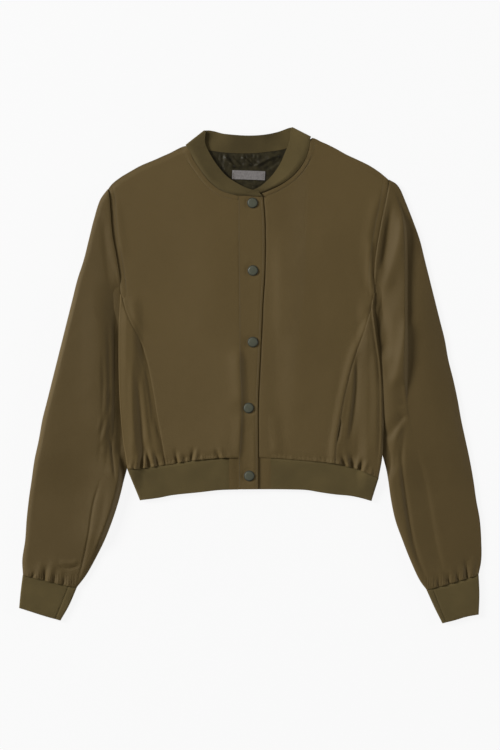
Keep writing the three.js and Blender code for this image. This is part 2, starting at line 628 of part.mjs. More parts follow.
const jacket = new THREE.Group();
jacket.name = 'bomber_jacket';
jacket.add(
  back(),
  frontRight(),
  frontLeft(),
  sidePanel('side_right', SIDE_SEAM_RIGHT, SIDE_FOLD_RIGHT, BACK_SEAM_RIGHT, 1),
  sidePanel('side_left', SIDE_SEAM_LEFT, SIDE_FOLD_LEFT, BACK_SEAM_LEFT, -1),
  placket(),
  hemRib(),
  hemTab('hem_tab_right', -TAB_X + SEAM, -17.1, (x) => mix(TAB_MID + 0.9, PLACKET_MID, ease(-TAB_X, -18, x))),
  hemTab('hem_tab_left', UNDERLAP_X, TAB_X - SEAM, () => TAB_MID),
  sleeve('sleeve_right', SLEEVE_RIGHT_OUTER, SLEEVE_RIGHT_INNER, offset(ARMHOLE_RIGHT, -SEAM * 2), CUFF_SEAM_RIGHT),
  sleeve('sleeve_left', SLEEVE_LEFT_OUTER, SLEEVE_LEFT_INNER, offset(ARMHOLE_LEFT, SEAM * 2), CUFF_SEAM_LEFT),
  cuff('cuff_right', CUFF_SEAM_RIGHT.map(([x, y]) => [x, y - 0.42]), CUFF_END_RIGHT,
    [[-317, -281.05], [-320, -304], [-322, -326]], [[-243, -298.05], [-254, -322], [-266, -343]]),
  cuff('cuff_left', CUFF_SEAM_LEFT.map(([x, y]) => [x, y - 0.42]), CUFF_END_LEFT,
    [[319, -281.05], [320, -308], [319, -335]], [[247.5, -301.05], [259, -325], [270, -347]]),
  collar(),
  liningBack(),
  label(),
  ...SNAPS.map(([x, y], i) => snap(`snap_${i + 1}`, x, y)),
);

export default jacket;
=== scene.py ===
"""A cropped bomber jacket laid flat on a white floor, front up. Sizes are in millimetres until a mesh is made."""
import math

import bpy
import numpy as np
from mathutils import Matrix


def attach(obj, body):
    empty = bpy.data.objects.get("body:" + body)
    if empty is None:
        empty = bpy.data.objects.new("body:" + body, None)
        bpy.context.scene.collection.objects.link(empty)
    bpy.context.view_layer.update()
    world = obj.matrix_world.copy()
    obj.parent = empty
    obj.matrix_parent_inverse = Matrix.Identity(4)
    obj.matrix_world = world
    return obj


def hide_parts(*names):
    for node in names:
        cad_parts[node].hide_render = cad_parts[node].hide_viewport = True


MM = 0.001

# Cloth walls and the heights of the middle of each layer
SHELL_WALL = 1.4
SLEEVE_WALL = 1.3
RIB_WALL = 2.0
LINING_WALL = 1.0
LABEL_WALL = 0.6
BACK_MID = 0.7
FRONT_MID = 3.9
SHOULDER_MID = 2.45
PLACKET_MID = 5.95
LINING_MID = 2.25
LABEL_MID = 3.5
RIB_BACK_MID = 1.0
RIB_FRONT_MID = 4.3
TAB_MID = 3.9

# Pieces lap by twice this at a seam, and the seam pulls in a groove. The shoulders stop short of their line.
SEAM = -0.06
SHOULDER_INSET = 0.3
GROOVE_DEPTH = 0.6
GROOVE_WIDTH = 1.2

# The body's sides rise over the sleeves, which are tucked under them
TUCK_LIFT = 4.0
TUCK_X = (148, 165)

# How deep the gathers above the hem band are, and how much the cloth puffs right at the band
GATHER = 2.2
HEM_PUFF = 1.0

# The left front rises beside the placket, to the collar and to its side panel
PLACKET_RISE = 1.1
NECK_RISE = 0.3
EDGE_RISE = 2.3

# Side panels: the open stretch of each pocket in the seam, its depth, the dip or swell beside the seam, the fall and
# the lip at the fold, and how low the cloth may lie
POCKETS = {"right": (-92, -6), "left": (-98, -58)}
POCKET_DEPTH = 2.0
SIDE_DIP = 1.6
SIDE_SWELL = 1.8
SIDE_FALL = 1.9
SIDE_LIP = 1.1
PANEL_LOWEST = 2.2

# How far the rows of stitches lie from their seams
ARMHOLE_STITCH = 8.0
NECK_STITCH = 6.2
EDGE_STITCH = 2.2
PLACKET_STITCH = 1.8

# Seams and edges seen from above, each row is x, y
SHOULDER_RIGHT = [(-199, 259), (-193, 267), (-182, 276), (-169, 284), (-153, 293), (-134, 301), (-116, 309), (-90, 321)]
SHOULDER_LEFT = [(85.5, 332), (101, 326), (118, 318), (134, 309), (151, 301), (167, 293), (182, 283), (195, 272)]
NECK_RIGHT = [(-88.5, 320), (-82, 304.5), (-69.5, 285), (-55.5, 268), (-39, 256.6), (-20, 251), (-17.4, 250.4)]
NECK_LEFT = [(-11, 250.4), (4, 250.6), (17, 254.6), (28, 259), (44.8, 267.4), (61.6, 280), (75.6, 298.2), (82.6, 316.4),
             (84.4, 331)]
NECK_BACK = [(-88.5, 320), (-80, 317.4), (-63, 314), (-42, 310), (-20, 308), (3, 308), (25, 310.4), (49, 315),
             (70, 322.6), (84.4, 331)]
ARMHOLE_RIGHT = [(-199, 259), (-197, 248), (-193, 197), (-188, 169), (-182.5, 133), (-181, 113)]
ARMHOLE_LEFT = [(195, 272), (193, 257), (188, 231), (182, 203), (176, 164), (174.5, 139), (174.5, 116)]
SIDE_SEAM_RIGHT = [(-178.8, 110.5), (-173, 88), (-166, 72), (-157, 55), (-149, 36), (-142, 10), (-135, -27),
                   (-129.5, -60), (-124, -90), (-118, -125.6)]
SIDE_SEAM_LEFT = [(172.8, 112), (166, 84), (161, 66), (154, 47), (147, 27), (139, -1), (132, -31), (125.5, -66),
                  (121, -94), (119, -123.8)]
SIDE_FOLD_RIGHT = [(-181, 113.5), (-181.8, 90), (-182.6, 72), (-183, 54), (-183, 10), (-182, -26), (-180, -60),
                   (-177, -90), (-171, -130.4)]
SIDE_FOLD_LEFT = [(175, 116), (174.5, 92), (176.5, 72), (179.5, 50), (183, 26), (185.5, 0), (186.3, -30), (186, -90),
                  (184, -116), (179, -143.5)]
BACK_SEAM_RIGHT = [(-178.5, 110), (-171, 88), (-165, 70), (-160, 50), (-158, 10), (-154, -28), (-150, -84),
                   (-146, -129.3)]
BACK_SEAM_LEFT = [(172.2, 112), (165, 90), (160, 70), (157, 48), (156, 26), (154, -28), (152, -86), (150, -131.4)]
PLACKET_SEAM = [(-17, 248.6), (-17, 180), (-16, 100), (-15, 4), (-13, -27), (-13, -63), (-15, -100), (-16.5, -115.5),
                (-16.5, -159.5)]
PLACKET_EDGE = [(17.5, 248.6), (20, 217), (20, 147), (17.5, 105), (15, 49), (13, 7), (11, -35), (11, -115),
                (11, -159.5)]
UNDERLAP_X = -10
HEM_SEAM = [(-171, -130.4), (-160, -131.2), (-149, -130.4), (-137, -128.5), (-123, -126.5), (-109, -124.5), (-90, -121),
            (-70, -118.5), (-42, -116), (-16, -115.5), (28, -116), (70, -119), (98, -121.5), (120, -124), (143, -129.5),
            (162, -136), (179, -143.5)]
HEM_EDGE = [(-153, -175), (-129, -172), (-108, -168), (-70, -164), (-43, -161), (-7, -160), (56, -160), (80, -161),
            (98, -164), (119, -167), (140, -169), (155, -172), (169, -176)]
HEM_SIDE_RIGHT = (-171, -153)
HEM_SIDE_LEFT = (179, 169)
TAB_X = 29
SLEEVE_RIGHT_OUTER = [(-198.7, 259.6), (-209, 245), (-218, 217), (-225, 189), (-232, 161), (-241, 133), (-248, 105),
                      (-255, 77), (-262, 49), (-269, 21), (-276, -7), (-283, -35), (-290, -63), (-295, -91),
                      (-301, -119), (-305, -147), (-309, -175), (-312, -203), (-314, -231), (-318, -259), (-317, -280)]
SLEEVE_RIGHT_INNER = [(-180.3, 113), (-180.3, 98), (-177, 84), (-172, 60), (-170, 0), (-168, -60), (-168.5, -95),
                      (-172, -127), (-177, -147), (-184, -175), (-193, -203), (-204, -231), (-218, -259), (-230, -280),
                      (-243, -297)]
SLEEVE_LEFT_OUTER = [(194.8, 272.5), (204, 267), (210, 259), (216, 245), (227, 217), (237, 189), (244, 161), (251, 133),
                     (258, 105), (265, 77), (272, 49), (277, 21), (284, -7), (290, -35), (295, -63), (301, -91),
                     (307, -119), (312, -147), (316, -175), (321, -203), (323, -231), (323, -259), (319, -280)]
SLEEVE_LEFT_INNER = [(173.8, 116), (173.8, 102), (171.5, 84), (168, 58), (168, 20), (170, -20), (174, -60), (180, -92),
                     (186.5, -114), (191.5, -133), (194, -147), (198, -175), (204, -203), (214, -231), (225, -259),
                     (238, -287), (247.5, -300)]
CUFF_SEAM_RIGHT = [(-317, -280.6), (-290, -287), (-266, -293), (-243, -297.6)]
CUFF_END_RIGHT = [(-322, -326), (-308, -330.5), (-286, -337.5), (-266, -343)]
CUFF_SEAM_LEFT = [(319, -280.6), (296, -287), (270, -295), (247.5, -300.6)]
CUFF_END_LEFT = [(319, -335), (303, -338), (286, -343), (270, -347)]

# Sleeves: the middle of the upper layer at its folds, its rise over its width and beside the body, where the rise
# starts at the inner fold, how far the loops fan round the armhole and slip under the body, and the lowest middle
SLEEVE_FOLD_MID = 3.0
SLEEVE_PUFF = 2.4
BESIDE_BODY = 4.2
RISE_START = 11
FAN = 1.4
SLEEVE_TUCK = 0.3
SLEEVE_LOWEST = 2.1

# Cuffs: the middles of both layers, how far they slip into the sleeves, and how deep the gathers are
CUFF_MIDS = (1.0, 4.0)
CUFF_TUCK = 1.0
CUFF_GATHER = 1.5

# The cuffs' own seams
CUFF_LINE_RIGHT = [(-253, -294), (-262, -316), (-272, -341)]
CUFF_LINE_LEFT = [(256, -300), (264, -320), (274, -345)]

# Soft folds, each along a line that runs down the jacket: its points, how wide the fold is to the west and to the east,
# and its height. Its ends fade out.
FRONT_FOLDS = [
    ([(44, 222), (54, 120), (58, -20), (62, -100)], 26, 50, 3.4),
    ([(96, 225), (112, 120), (120, 40)], 16, 22, 0.7),
    ([(-52, 224), (-58, 120), (-64, 20)], 40, 34, 0.9),
    ([(184, 262), (172, 225), (164, 178), (164, 150)], 7, 5, 1.0),
    ([(170, 196), (168, 150), (170, 112)], 5, 3, 1.5),
    ([(150, 170), (158, 140), (168, 112)], 8, 7, -0.6),
    ([(172, 100), (160, 78), (150, 62)], 5, 6, -0.9),
    ([(40, 84), (42, 20), (42, -60), (44, -112)], 24, 16, -1.4),
    ([(-188, 250), (-184, 214), (-177, 160)], 4, 7, 0.8),
    ([(-176, 104), (-164, 78), (-150, 50)], 5, 4, -0.7),
    ([(-168, 112), (-158, 84), (-146, 56)], 6, 9, 0.6),
    ([(28, -50), (31, -86), (38, -114)], 5, 10, 1.5),
    ([(21, -60), (22, -86), (24, -112)], 3, 4, -1.2),
    ([(14, -108), (22, -112), (34, -113)], 2.4, 2.4, -0.8),
    ([(118, 20), (112, -40), (104, -96)], 18, 12, 0.8),
]

# Folds along the seam of the placket, shared by the front and the placket
SEAM_FOLDS = [
    ([(-15, 74), (-15, -20), (-15, -70), (-17, -156)], 28, 5, 1.9),
    ([(-18, 40), (-15, 0), (-13, -28), (-12, -49)], 11, 7, 2.2),
    ([(-13, -50), (-15, -82), (-18, -116)], 8, 4, 1.2),
]

# Folds on the placket alone
PLACKET_FOLDS = [
    ([(-12, -60), (-12, -90), (-13, -130)], 3, 4, -0.4),
    ([(4, -70), (5, -110), (5, -150)], 4, 3, 0.5),
]

# Folds of the curved side panels
SIDE_FOLDS = [
    ([(-147, 16), (-140, -30), (-134, -80)], 2.4, 3.2, -1.0),
    ([(-152, 10), (-147, -50), (-139, -112)], 5, 3, 1.3),
    ([(-158, 0), (-153, -60), (-148, -124)], 3, 3.4, -1.2),
    ([(-166, 30), (-165, -50), (-158, -124)], 6, 3.4, 1.0),
    ([(-172, 20), (-170, -60), (-166, -118)], 4, 5, -0.6),
    ([(146, 20), (140, -40), (131, -102)], 3, 3, 0.7),
    ([(150, 36), (147, -30), (138, -100)], 2.4, 5, -1.4),
    ([(150, 26), (152, -40), (147, -110)], 4, 6, 0.3),
    ([(160, 50), (165, -30), (160, -120)], 9, 8, -1.0),
    ([(170, 60), (176, -20), (174, -110)], 5, 5, 0.5),
]

# Gathers above the hem band: x, how far up, how far they lean, width, height
HEM_GATHERS = [
    (-166, 20, 3, 2.6, 0.7), (-159, 30, 5, 2.6, 1.0), (-152, 40, 4, 2.4, -1.1), (-147, 30, 2, 2.2, 1.0),
    (-140, 42, -8, 2.4, -1.2), (-134, 34, -8, 2.3, 1.0), (-128, 24, -6, 2.0, -0.9), (-121, 18, -4, 2.2, 0.8),
    (-101, 24, -5, 2.2, -1.1), (-97, 16, -4, 2.2, 0.9), (-91, 12, 0, 1.8, -0.6), (-82, 22, 4, 2.0, -1.0),
    (-77, 22, 5, 1.8, 0.9), (-66, 10, 0, 2.0, 0.4), (-43, 16, -6, 2.4, -0.9), (-36, 18, -10, 2.6, 0.8),
    (-26, 12, -3, 2.0, 0.6), (58, 8, 0, 2.5, 0.3), (92, 10, 1, 2.4, 0.4), (124, 12, 3, 2.2, 0.6),
    (133, 20, -6, 2.4, -0.9), (138, 28, -8, 2.4, 1.1), (144, 22, -2, 2.0, -1.1), (149, 24, 6, 2.3, 1.1),
    (154, 18, 5, 1.8, -1.0), (159, 20, 6, 2.2, 0.8), (168, 14, 2, 2.6, 0.5),
]

# Long folds of the sleeves
SLEEVE_FOLDS = [
    ([(196, 268), (206.5, 242), (212.8, 218), (215.6, 193), (216, 137), (215.6, 63), (215, 0), (218, -48)],
     14, 1.8, 4.8),
    ([(216, 226), (221, 165), (221, 105), (221, 21), (222, -49), (232, -96)], 3.0, 14, -1.5),
    ([(213, 236), (210, 196), (201, 158), (189, 120), (181, 100)], 7, 10, 3.0),
    ([(199, 250), (192, 195), (184, 138)], 5, 6, -2.1),
    ([(178, 104), (188, 72), (193, 20)], 8, 8, -3.2),
    ([(221, 90), (213, 39), (200, -26)], 7, 12, 3.0),
    ([(184, 56), (190, 20), (195, -14)], 5, 6, -0.9),
    ([(206, -4), (212, -30), (216, -50)], 7, 5, -1.0),
    ([(220, -53), (208, -67), (192, -92)], 9, 3.5, -2.3),
    ([(216, -62), (202, -92), (197, -140)], 8, 4, 1.3),
    ([(217.7, -62), (212, -116), (220, -186), (231, -244), (248, -290), (254, -304)], 4.2, 3.4, -1.9),
    ([(208, -120), (214, -186), (224, -240)], 6, 5, 1.0),
    ([(227, -88), (243, -147), (262, -248), (274, -292), (276, -304)], 12, 4.5, -1.3),
    ([(252, -160), (270, -240), (284, -280)], 12, 20, 0.9),
    ([(290, 20), (300, -60), (308, -150)], 16, 10, 0.8),
    ([(-213, 116), (-211.5, 49), (-213, -14), (-209, -49), (-216, -104)], 20, 14, 2.0),
    ([(-188, 100), (-184, 21), (-184, -35), (-185, -91), (-184, -135)], 6, 20, -1.8),
    ([(-204, 226), (-201, 170), (-193, 112)], 5, 6, -0.9),
    ([(-192, -36), (-200, -70), (-212, -104)], 3, 3, 0.9),
    ([(-201, -10), (-204, -50), (-214, -84)], 3, 3, 0.8),
    ([(-196.8, -78), (-193.2, -112), (-188, -150)], 1.6, 2.6, -1.6),
    ([(-206, -138), (-218.4, -178), (-226, -225), (-236.6, -272), (-242, -292), (-244, -300)], 1.5, 2.4, -1.0),
    ([(-184, -100), (-186, -145), (-195, -195), (-213, -262)], 29, 9, 6.2),
    ([(-207, 40), (-205, -40), (-212, -130)], 2.6, 3.4, -0.8),
    ([(-199, 80), (-197, 0), (-198, -90), (-204, -150)], 2.6, 3.4, -1.0),
    ([(-191, 90), (-190, 10), (-191, -70), (-196, -130)], 2.2, 2.6, -1.2),
    ([(-200, -150), (-208, -200), (-224, -258)], 5, 5, -0.8),
    ([(-270, -267), (-255, -270.5), (-236, -266)], 2.4, 2.2, -1.0),
    ([(-268, -260), (-254, -263), (-238, -260)], 3.0, 3.0, 0.9),
    ([(-262, 60), (-276, -60), (-288, -180)], 20, 22, 0.6),
]

# Gathers at the cuffs: x and y at the seam, x and y at the far end, width, height
CUFF_GATHERS = [
    (-311, -283, -304, -266, 3.2, 0.6), (-305, -284, -300, -274, 1.8, -0.9), (-298, -285, -289, -256, 3.4, 0.9),
    (-287, -288, -285, -262, 2.2, -1.5), (-282, -289, -272, -250, 3.6, 1.3), (-274, -291, -273, -274, 1.8, -0.8),
    (-268, -292, -262, -262, 3.2, 0.7), (-261, -293, -258, -278, 1.8, -0.6), (-254, -295, -250, -268, 3.0, 0.6),
    (311, -283, 313, -248, 3.4, 1.1), (304, -284, 301, -252, 2.0, -1.5), (298, -286, 294, -264, 3.2, 1.0),
    (292, -288, 289, -274, 1.8, -0.9), (286, -290, 278, -258, 3.2, 0.8), (279, -292, 276, -274, 1.8, -1.0),
    (272, -294, 264, -264, 3.0, 0.7), (265, -297, 262, -282, 1.8, -0.7), (258, -298, 250, -272, 3.0, 0.5),
]

# Collar strip as sections: base x, y, z and free edge x, y, z, from the outer front end round the neck
COLLAR_FRONT_RIGHT = [
    (17, 249.9, 7.4, 10.5, 257.4, 7.3), (8.4, 250.2, 7.4, 7.4, 257.8, 7.3), (-4, 251.2, 7.3, -4.2, 261.1, 7.3),
    (-20, 252, 6.9, -19.6, 268.8, 7.3), (-38.6, 257.6, 5.8, -33.6, 278.6, 7.3), (-54.9, 268.7, 5.2, -45.5, 292.6, 7.2),
    (-68.7, 285.5, 5.2, -55.5, 308, 7), (-80.8, 305.2, 5.2, -63, 325, 6.8),
]
COLLAR_BACK = [
    (-62.8, 315.2, 2.3, -50.4, 341, 2.1), (-41.9, 312.0, 2.3, -36.4, 337.2, 2.2), (-20, 310.4, 2.3, -18.2, 335, 2.2),
    (3, 310.4, 2.3, 0, 334.3, 2.2), (24.9, 312.4, 2.3, 18.2, 335.4, 2.2), (48.8, 316.4, 2.3, 37.8, 339.6, 2.1),
]
COLLAR_FRONT_LEFT = [
    (81.8, 316.7, 5.2, 55.3, 329, 6.8), (74.9, 298.6, 5.2, 49, 310.8, 6.9), (60.9, 280.6, 5.2, 40.6, 292.6, 6.6),
    (44.2, 268.1, 5, 28, 275.8, 6), (27.5, 259.8, 4.8, 14, 263.2, 5), (16.6, 255.5, 4.5, 4.2, 258.6, 4.5),
    (4, 251.4, 4.4, -4.2, 255.6, 4.4),
]
# The two folds of the strip: base and free end, then the ways that the base, the upper and the lower free edge run on
COLLAR_FOLDS = [(-89.5, 321.2, -62.6, 342.3, (0.62, -0.78), (0.15, -1), (0.97, -0.1)),
                (85, 332.6, 57.8, 346.4, (-0.51, -0.86), (-0.15, -1), (-0.95, -0.25))]
COLLAR_FOLD_Z = (1.5, 5.2)

# The collar's front rolls up to a crest, more on the right, and drops into the neck. Its back stands up.
COLLAR_BOW = 2.3
COLLAR_BOW_LEFT = 0.9
COLLAR_CREST = 0.24
COLLAR_DROP = 4.2
COLLAR_STAND = 6.6

# Creases of the lining, how deep they are, how low it may lie, and the rim of the opening that shows it
LINING_FOLDS = [
    ([(-48, 306), (-42, 297), (-38, 288)], 1.8, 1.6, -1.5),
    ([(-36, 308), (-29, 298), (-20, 289)], 2.4, 1.4, 2.0),
    ([(-25, 307), (-16, 299), (-9, 292)], 1.4, 1.8, -1.6),
    ([(-13, 306), (-5, 300), (3, 292)], 2.4, 1.4, 1.7),
    ([(-2, 308), (6, 301), (12, 296)], 1.6, 1.6, -1.3),
    ([(46, 309), (26, 302), (4, 290)], 2.2, 1.6, 1.9),
    ([(50, 303), (36, 296), (20, 287)], 1.8, 1.8, -1.7),
    ([(48, 296), (42, 288), (32, 276)], 2.2, 1.6, 1.6),
    ([(-58, 304), (-50, 293), (-42, 283)], 2.4, 1.6, 1.5),
    ([(-34, 279), (-26, 270), (-14, 263)], 1.8, 1.8, 1.2),
    ([(-16, 270), (-4, 266), (6, 262)], 2.2, 1.6, -1.4),
    ([(28, 284), (22, 273), (8, 262)], 2.2, 1.8, 1.6),
]
LINING_CREASE = 1.35
LINING_LOWEST = 1.9
OPENING = [(-63, 325), (-55.5, 308), (-45.5, 292.6), (-33.6, 278.6), (-19.6, 268.8), (-3, 255), (14, 263.2),
           (28, 275.8), (40.6, 292.6), (49, 310.8), (55.3, 329)]

# Label: the middle, length, width and tilt in degrees
LABEL = (-2, 279.5, 46, 12.5, -2)

# Press-stud caps, the outline of a cap as radius and height, how many of its rings are the rim and get painted shade,
# how far it is above the placket, and how deep it presses the cloth in
SNAPS = [(3.5, 240.5), (4, 146), (4, 46), (-2, -46), (-1, -141)]
SNAP_OUTLINE = [(7.1, 0), (7.4, 0.15), (7.4, 0.4), (7.1, 0.55), (6.8, 0.5), (6.6, 0.3), (6.5, 0.35), (6.45, 0.8),
                (6.35, 1.25), (6.05, 1.55), (5.3, 1.7), (4.4, 1.76), (3.0, 1.82), (1.6, 1.85), (0.8, 1.86)]
SNAP_SIDES = 56
SNAP_SHADED_RIM_RINGS = 7
SNAP_LIFT = 0.3
SNAP_DENT = 0.35

# Threads of the stitches: length, step and radius, how far they stand out and their ends sink in, and the outline of
# one as its share of the length and of the radius
STITCH_LENGTH = 2.5
STITCH_STEP = 3.3
STITCH_RADIUS = 0.26
STITCH_RAISE = 0.05
STITCH_SINK = 0.22
STITCH_OUTLINE = [(-0.5, 0.25), (-0.32, 0.9), (0.0, 1.0), (0.32, 0.9), (0.5, 0.25)]

# Colours in linear light, a darker tone for the sleeves, and painted shade and light: a darker left side panel, a
# collar darker at its west end and lighter at its east, and dark snap rims
SHELL = (0.1135, 0.0775, 0.0288)
SHELL_DEEP = (0.1065, 0.0722, 0.0265)
RIB = (0.096, 0.0705, 0.0268)
LINING = (0.0235, 0.0190, 0.0078)
LABEL_GREY = (0.19, 0.175, 0.168)
SLEEVE_TONE = 0.86
# Painted shade over the whole left side panel
SIDE_PAINTED_SHADE = 0.9
# Painted shade and light: the collar's tone at its west end, which faces away from the key light, and at its east end,
# which faces it
COLLAR_PAINTED_SHADE_AND_LIGHT = (0.81, 1.12)
THREAD = (0.085, 0.062, 0.028)
SNAP = (0.062, 0.066, 0.042)
# Painted shade: the snap caps' rims, where cap meets cloth
SNAP_RIM_PAINTED_SHADE = 0.35

# The floor, the light of the world, and the softboxes: place and size in metres, and power
FLOOR = (0.08, 0.08, 0.08)
FLOOR_GLOW = 0.885
FLOOR_HALF = 4
FLOOR_Z = -0.0004
WORLD = 0.27
LIGHTS = {"key": ((-6.0, 2.3, 3.0), 2.0, 620), "fill": ((2.6, 0.1, 0.5), 0.6, 26)}

# The camera's height over the jacket and the height of what it sees, in metres
CAMERA_HEIGHT = 3.4
FRAME_HEIGHT = 1.05

TURN = 6.283


# Lines, patches and distances

def ease(a, b, v):
    """From 0 at a to 1 at b, smoothly, and it falls along v where b is the smaller one."""
    t = np.clip((v - a) / (b - a), 0, 1)
    return t * t * (3 - 2 * t)


def bell(distance, width):
    return np.exp(-(distance / width) ** 2)


def mix(a, b, t):
    return a + (b - a) * t


def smooth(points, steps=14):
    """The points of a smooth curve through x, y rows."""
    p = np.array(points, float)
    if len(p) == 2:
        return p
    h = np.sqrt(np.linalg.norm(np.diff(p, axis=0), axis=1))
    slope = np.diff(p, axis=0) / h[:, None]
    tangent = np.empty_like(p)
    tangent[0], tangent[-1] = slope[0], slope[-1]
    tangent[1:-1] = (h[1:, None] * slope[:-1] + h[:-1, None] * slope[1:]) / (h[1:] + h[:-1])[:, None]
    t = np.linspace(0, 1, steps, endpoint=False)[None, :, None]
    a, b = p[:-1, None], p[1:, None]
    m, n = (tangent[:-1] * h[:, None])[:, None], (tangent[1:] * h[:, None])[:, None]
    curve = a * (2 * t**3 - 3 * t**2 + 1) + m * (t**3 - 2 * t**2 + t) + b * (3 * t**2 - 2 * t**3) + n * (t**3 - t**2)
    return np.concatenate([curve.reshape(-1, p.shape[1]), p[-1:]])


def line(points):
    """A smooth line through x, y rows, read by its share of length."""
    dense = smooth(points)
    share = np.concatenate([[0], np.cumsum(np.hypot(*np.diff(dense, axis=0).T))])
    share /= share[-1]

    def at(t):
        t = np.clip(t, 0, 1)
        return np.stack([np.interp(t, share, dense[:, 0]), np.interp(t, share, dense[:, 1])], -1)
    return at


def offset(points, distance):
    """The same rows moved to the left of their direction."""
    p = np.array(points, float)
    before, after = np.vstack([p[:1], p[:-1]]), np.vstack([p[1:], p[-1:]])
    direction = after - before
    direction /= np.hypot(*direction.T)[:, None]
    return p + np.stack([-direction[:, 1], direction[:, 0]], -1) * distance


def joined(*tables):
    return line(np.vstack([np.array(t, float) for t in tables]))


def kept_over(z, lowest, sharpness=3):
    """Heights that level out softly above the lowest one."""
    return np.logaddexp(sharpness * z, sharpness * lowest) / sharpness


def height_of(points):
    dense = smooth(points)
    return lambda x: np.interp(x, dense[:, 0], dense[:, 1])


hem_seam_y = height_of(HEM_SEAM)
hem_edge_y = height_of(HEM_EDGE)


def nearest(points, x, y, pieces=24):
    """Signed distance from a line, positive to its left, and the share of its length that is nearest."""
    p = line(points)(np.linspace(0, 1, pieces + 1))
    best = np.full(np.shape(x), 1e9)
    side = np.ones(np.shape(x))
    share = np.zeros(np.shape(x))
    for i in range(pieces):
        dx, dy = p[i + 1] - p[i]
        t = np.clip(((x - p[i, 0]) * dx + (y - p[i, 1]) * dy) / (dx * dx + dy * dy), 0, 1)
        ox, oy = x - p[i, 0] - dx * t, y - p[i, 1] - dy * t
        distance = np.hypot(ox, oy)
        closer = distance < best
        best = np.where(closer, distance, best)
        side = np.where(closer, np.sign(dx * oy - dy * ox), side)
        share = np.where(closer, (i + t) / pieces, share)
    return best * side, share


def away(points, x, y):
    return np.abs(nearest(points, x, y)[0])


def folds(table, x, y):
    """Sum of the soft folds of a table."""
    total = np.zeros(np.shape(x))
    for points, west, east, height in table:
        p = np.array(points, float)
        reach = 3 * max(west, east)
        inside = ((x > p[:, 0].min() - reach) & (x < p[:, 0].max() + reach)
                  & (y > p[:, 1].min() - reach) & (y < p[:, 1].max() + reach))
        if not inside.any():
            continue
        distance, share = nearest(points, x[inside], y[inside])
        q = distance / np.where(distance > 0, east, west)
        total[inside] += height * np.exp(-q * q) * ease(0, 0.25, share) * ease(1, 0.75, share)
    return total


def gathers(rows, x, y):
    """Sum of short folds that are deepest at a seam: each is x, y, x, y, width, height."""
    total = np.zeros(np.shape(x))
    for x0, y0, x1, y1, width, height in rows:
        dx, dy = x1 - x0, y1 - y0
        length = math.hypot(dx, dy)
        along = ((x - x0) * dx + (y - y0) * dy) / length / length
        across = ((x - x0) * dy - (y - y0) * dx) / length
        spread = width * (1 + 0.9 * np.clip(along, 0, 1))
        total += height * bell(across, spread) * ease(1, 0.15, along) * ease(-0.35, -0.02, along)
    return total


def ripple(x, y, size, seed):
    """An even, soft unevenness of about that size."""
    rng = np.random.default_rng(seed)
    total = 0
    waves = 14
    draws = [rng.uniform(low, high, waves) for low, high in ((0, TURN), (0, TURN), (0.6, 1.7))]
    for angle, phase, stretch in zip(*draws):
        total = total + np.sin((x * np.cos(angle) + y * np.sin(angle)) * TURN / size / stretch + phase)
    return total / waves


def patch(top, bottom, left, right):
    """A surface between four lines: top and bottom run the same way, left and right run down."""
    def plan(u, v):
        u1, v1 = u[..., None], v[..., None]
        edges = (1 - v1) * top(u) + v1 * bottom(u) + (1 - u1) * left(v) + u1 * right(v)
        corners = (1 - v1) * ((1 - u1) * top(0) + u1 * top(1)) + v1 * ((1 - u1) * bottom(0) + u1 * bottom(1))
        return edges - corners
    return plan


# Meshes

def add_object(name, data):
    thing = bpy.data.objects.new(name, data)
    bpy.context.collection.objects.link(thing)
    return thing


def finish_mesh(name, vertices, faces, material, uvs=None):
    mesh = bpy.data.meshes.new(name)
    mesh.from_pydata((np.asarray(vertices) * MM).tolist(), [], faces)
    mesh.materials.append(material)
    if uvs is not None:
        layer = mesh.uv_layers.new(name="cloth")
        loops = np.empty(len(mesh.loops), np.int32)
        mesh.loops.foreach_get("vertex_index", loops)
        layer.data.foreach_set("uv", (uvs[loops] * MM).astype(np.float32).ravel())
    mesh.validate()
    mesh.shade_smooth()
    mesh.set_sharp_from_angle(angle=math.radians(55))
    return add_object(name, mesh)


def unit(v):
    return v / np.maximum(np.linalg.norm(v, axis=-1, keepdims=True), 1e-9)


def ways(grid, axis):
    """The grid's direction at each point."""
    step = unit(np.diff(grid, axis=axis))
    return np.concatenate([step.take([0], axis), step], axis) + np.concatenate([step, step.take([-1], axis)], axis)


def wall(name, grid, thickness, material, ring=False):
    """A closed cloth wall with the grid of rows and columns in its middle."""
    rows, columns = grid.shape[:2]
    looped = unit(np.roll(grid, -1, 1) - grid) + unit(grid - np.roll(grid, 1, 1))
    normal = unit(np.cross(looped if ring else ways(grid, 1), ways(grid, 0))) * thickness / 2
    outer, inner = (grid + normal).reshape(-1, 3), (grid - normal).reshape(-1, 3)
    half = rows * columns
    index = np.arange(half).reshape(rows, columns)
    wide = np.concatenate([index, index[:, :1]], 1) if ring else index
    a, b, d, e = wide[:-1, :-1], wide[:-1, 1:], wide[1:, :-1], wide[1:, 1:]

    def quads(*corners):
        return np.stack([c.ravel() for c in corners], -1)
    edges = [wide[0][::-1], wide[-1]] + ([] if ring else [index[:, 0], index[::-1, -1]])
    faces = [quads(a, b, e, d), quads(a + half, d + half, e + half, b + half)]
    faces += [quads(edge[:-1], edge[1:], edge[1:] + half, edge[:-1] + half) for edge in edges]
    middle = grid[:, columns // (4 if ring else 2)]
    down = np.concatenate([[0], np.cumsum(np.linalg.norm(np.diff(middle, axis=0), axis=-1))])
    gaps = np.linalg.norm(np.diff(grid[rows // 2], axis=0), axis=-1)
    over = np.concatenate([[0], np.cumsum(gaps)])
    uv = np.stack(np.broadcast_arrays(over[None, :], down[:, None]), -1).reshape(-1, 2)
    vertices = np.concatenate([outer, inner])
    piece = finish_mesh(name, vertices, np.concatenate(faces).tolist(), material, np.tile(uv, (2, 1)))
    piece["area"] = grid_area(grid, ring) * 1e-6
    return piece


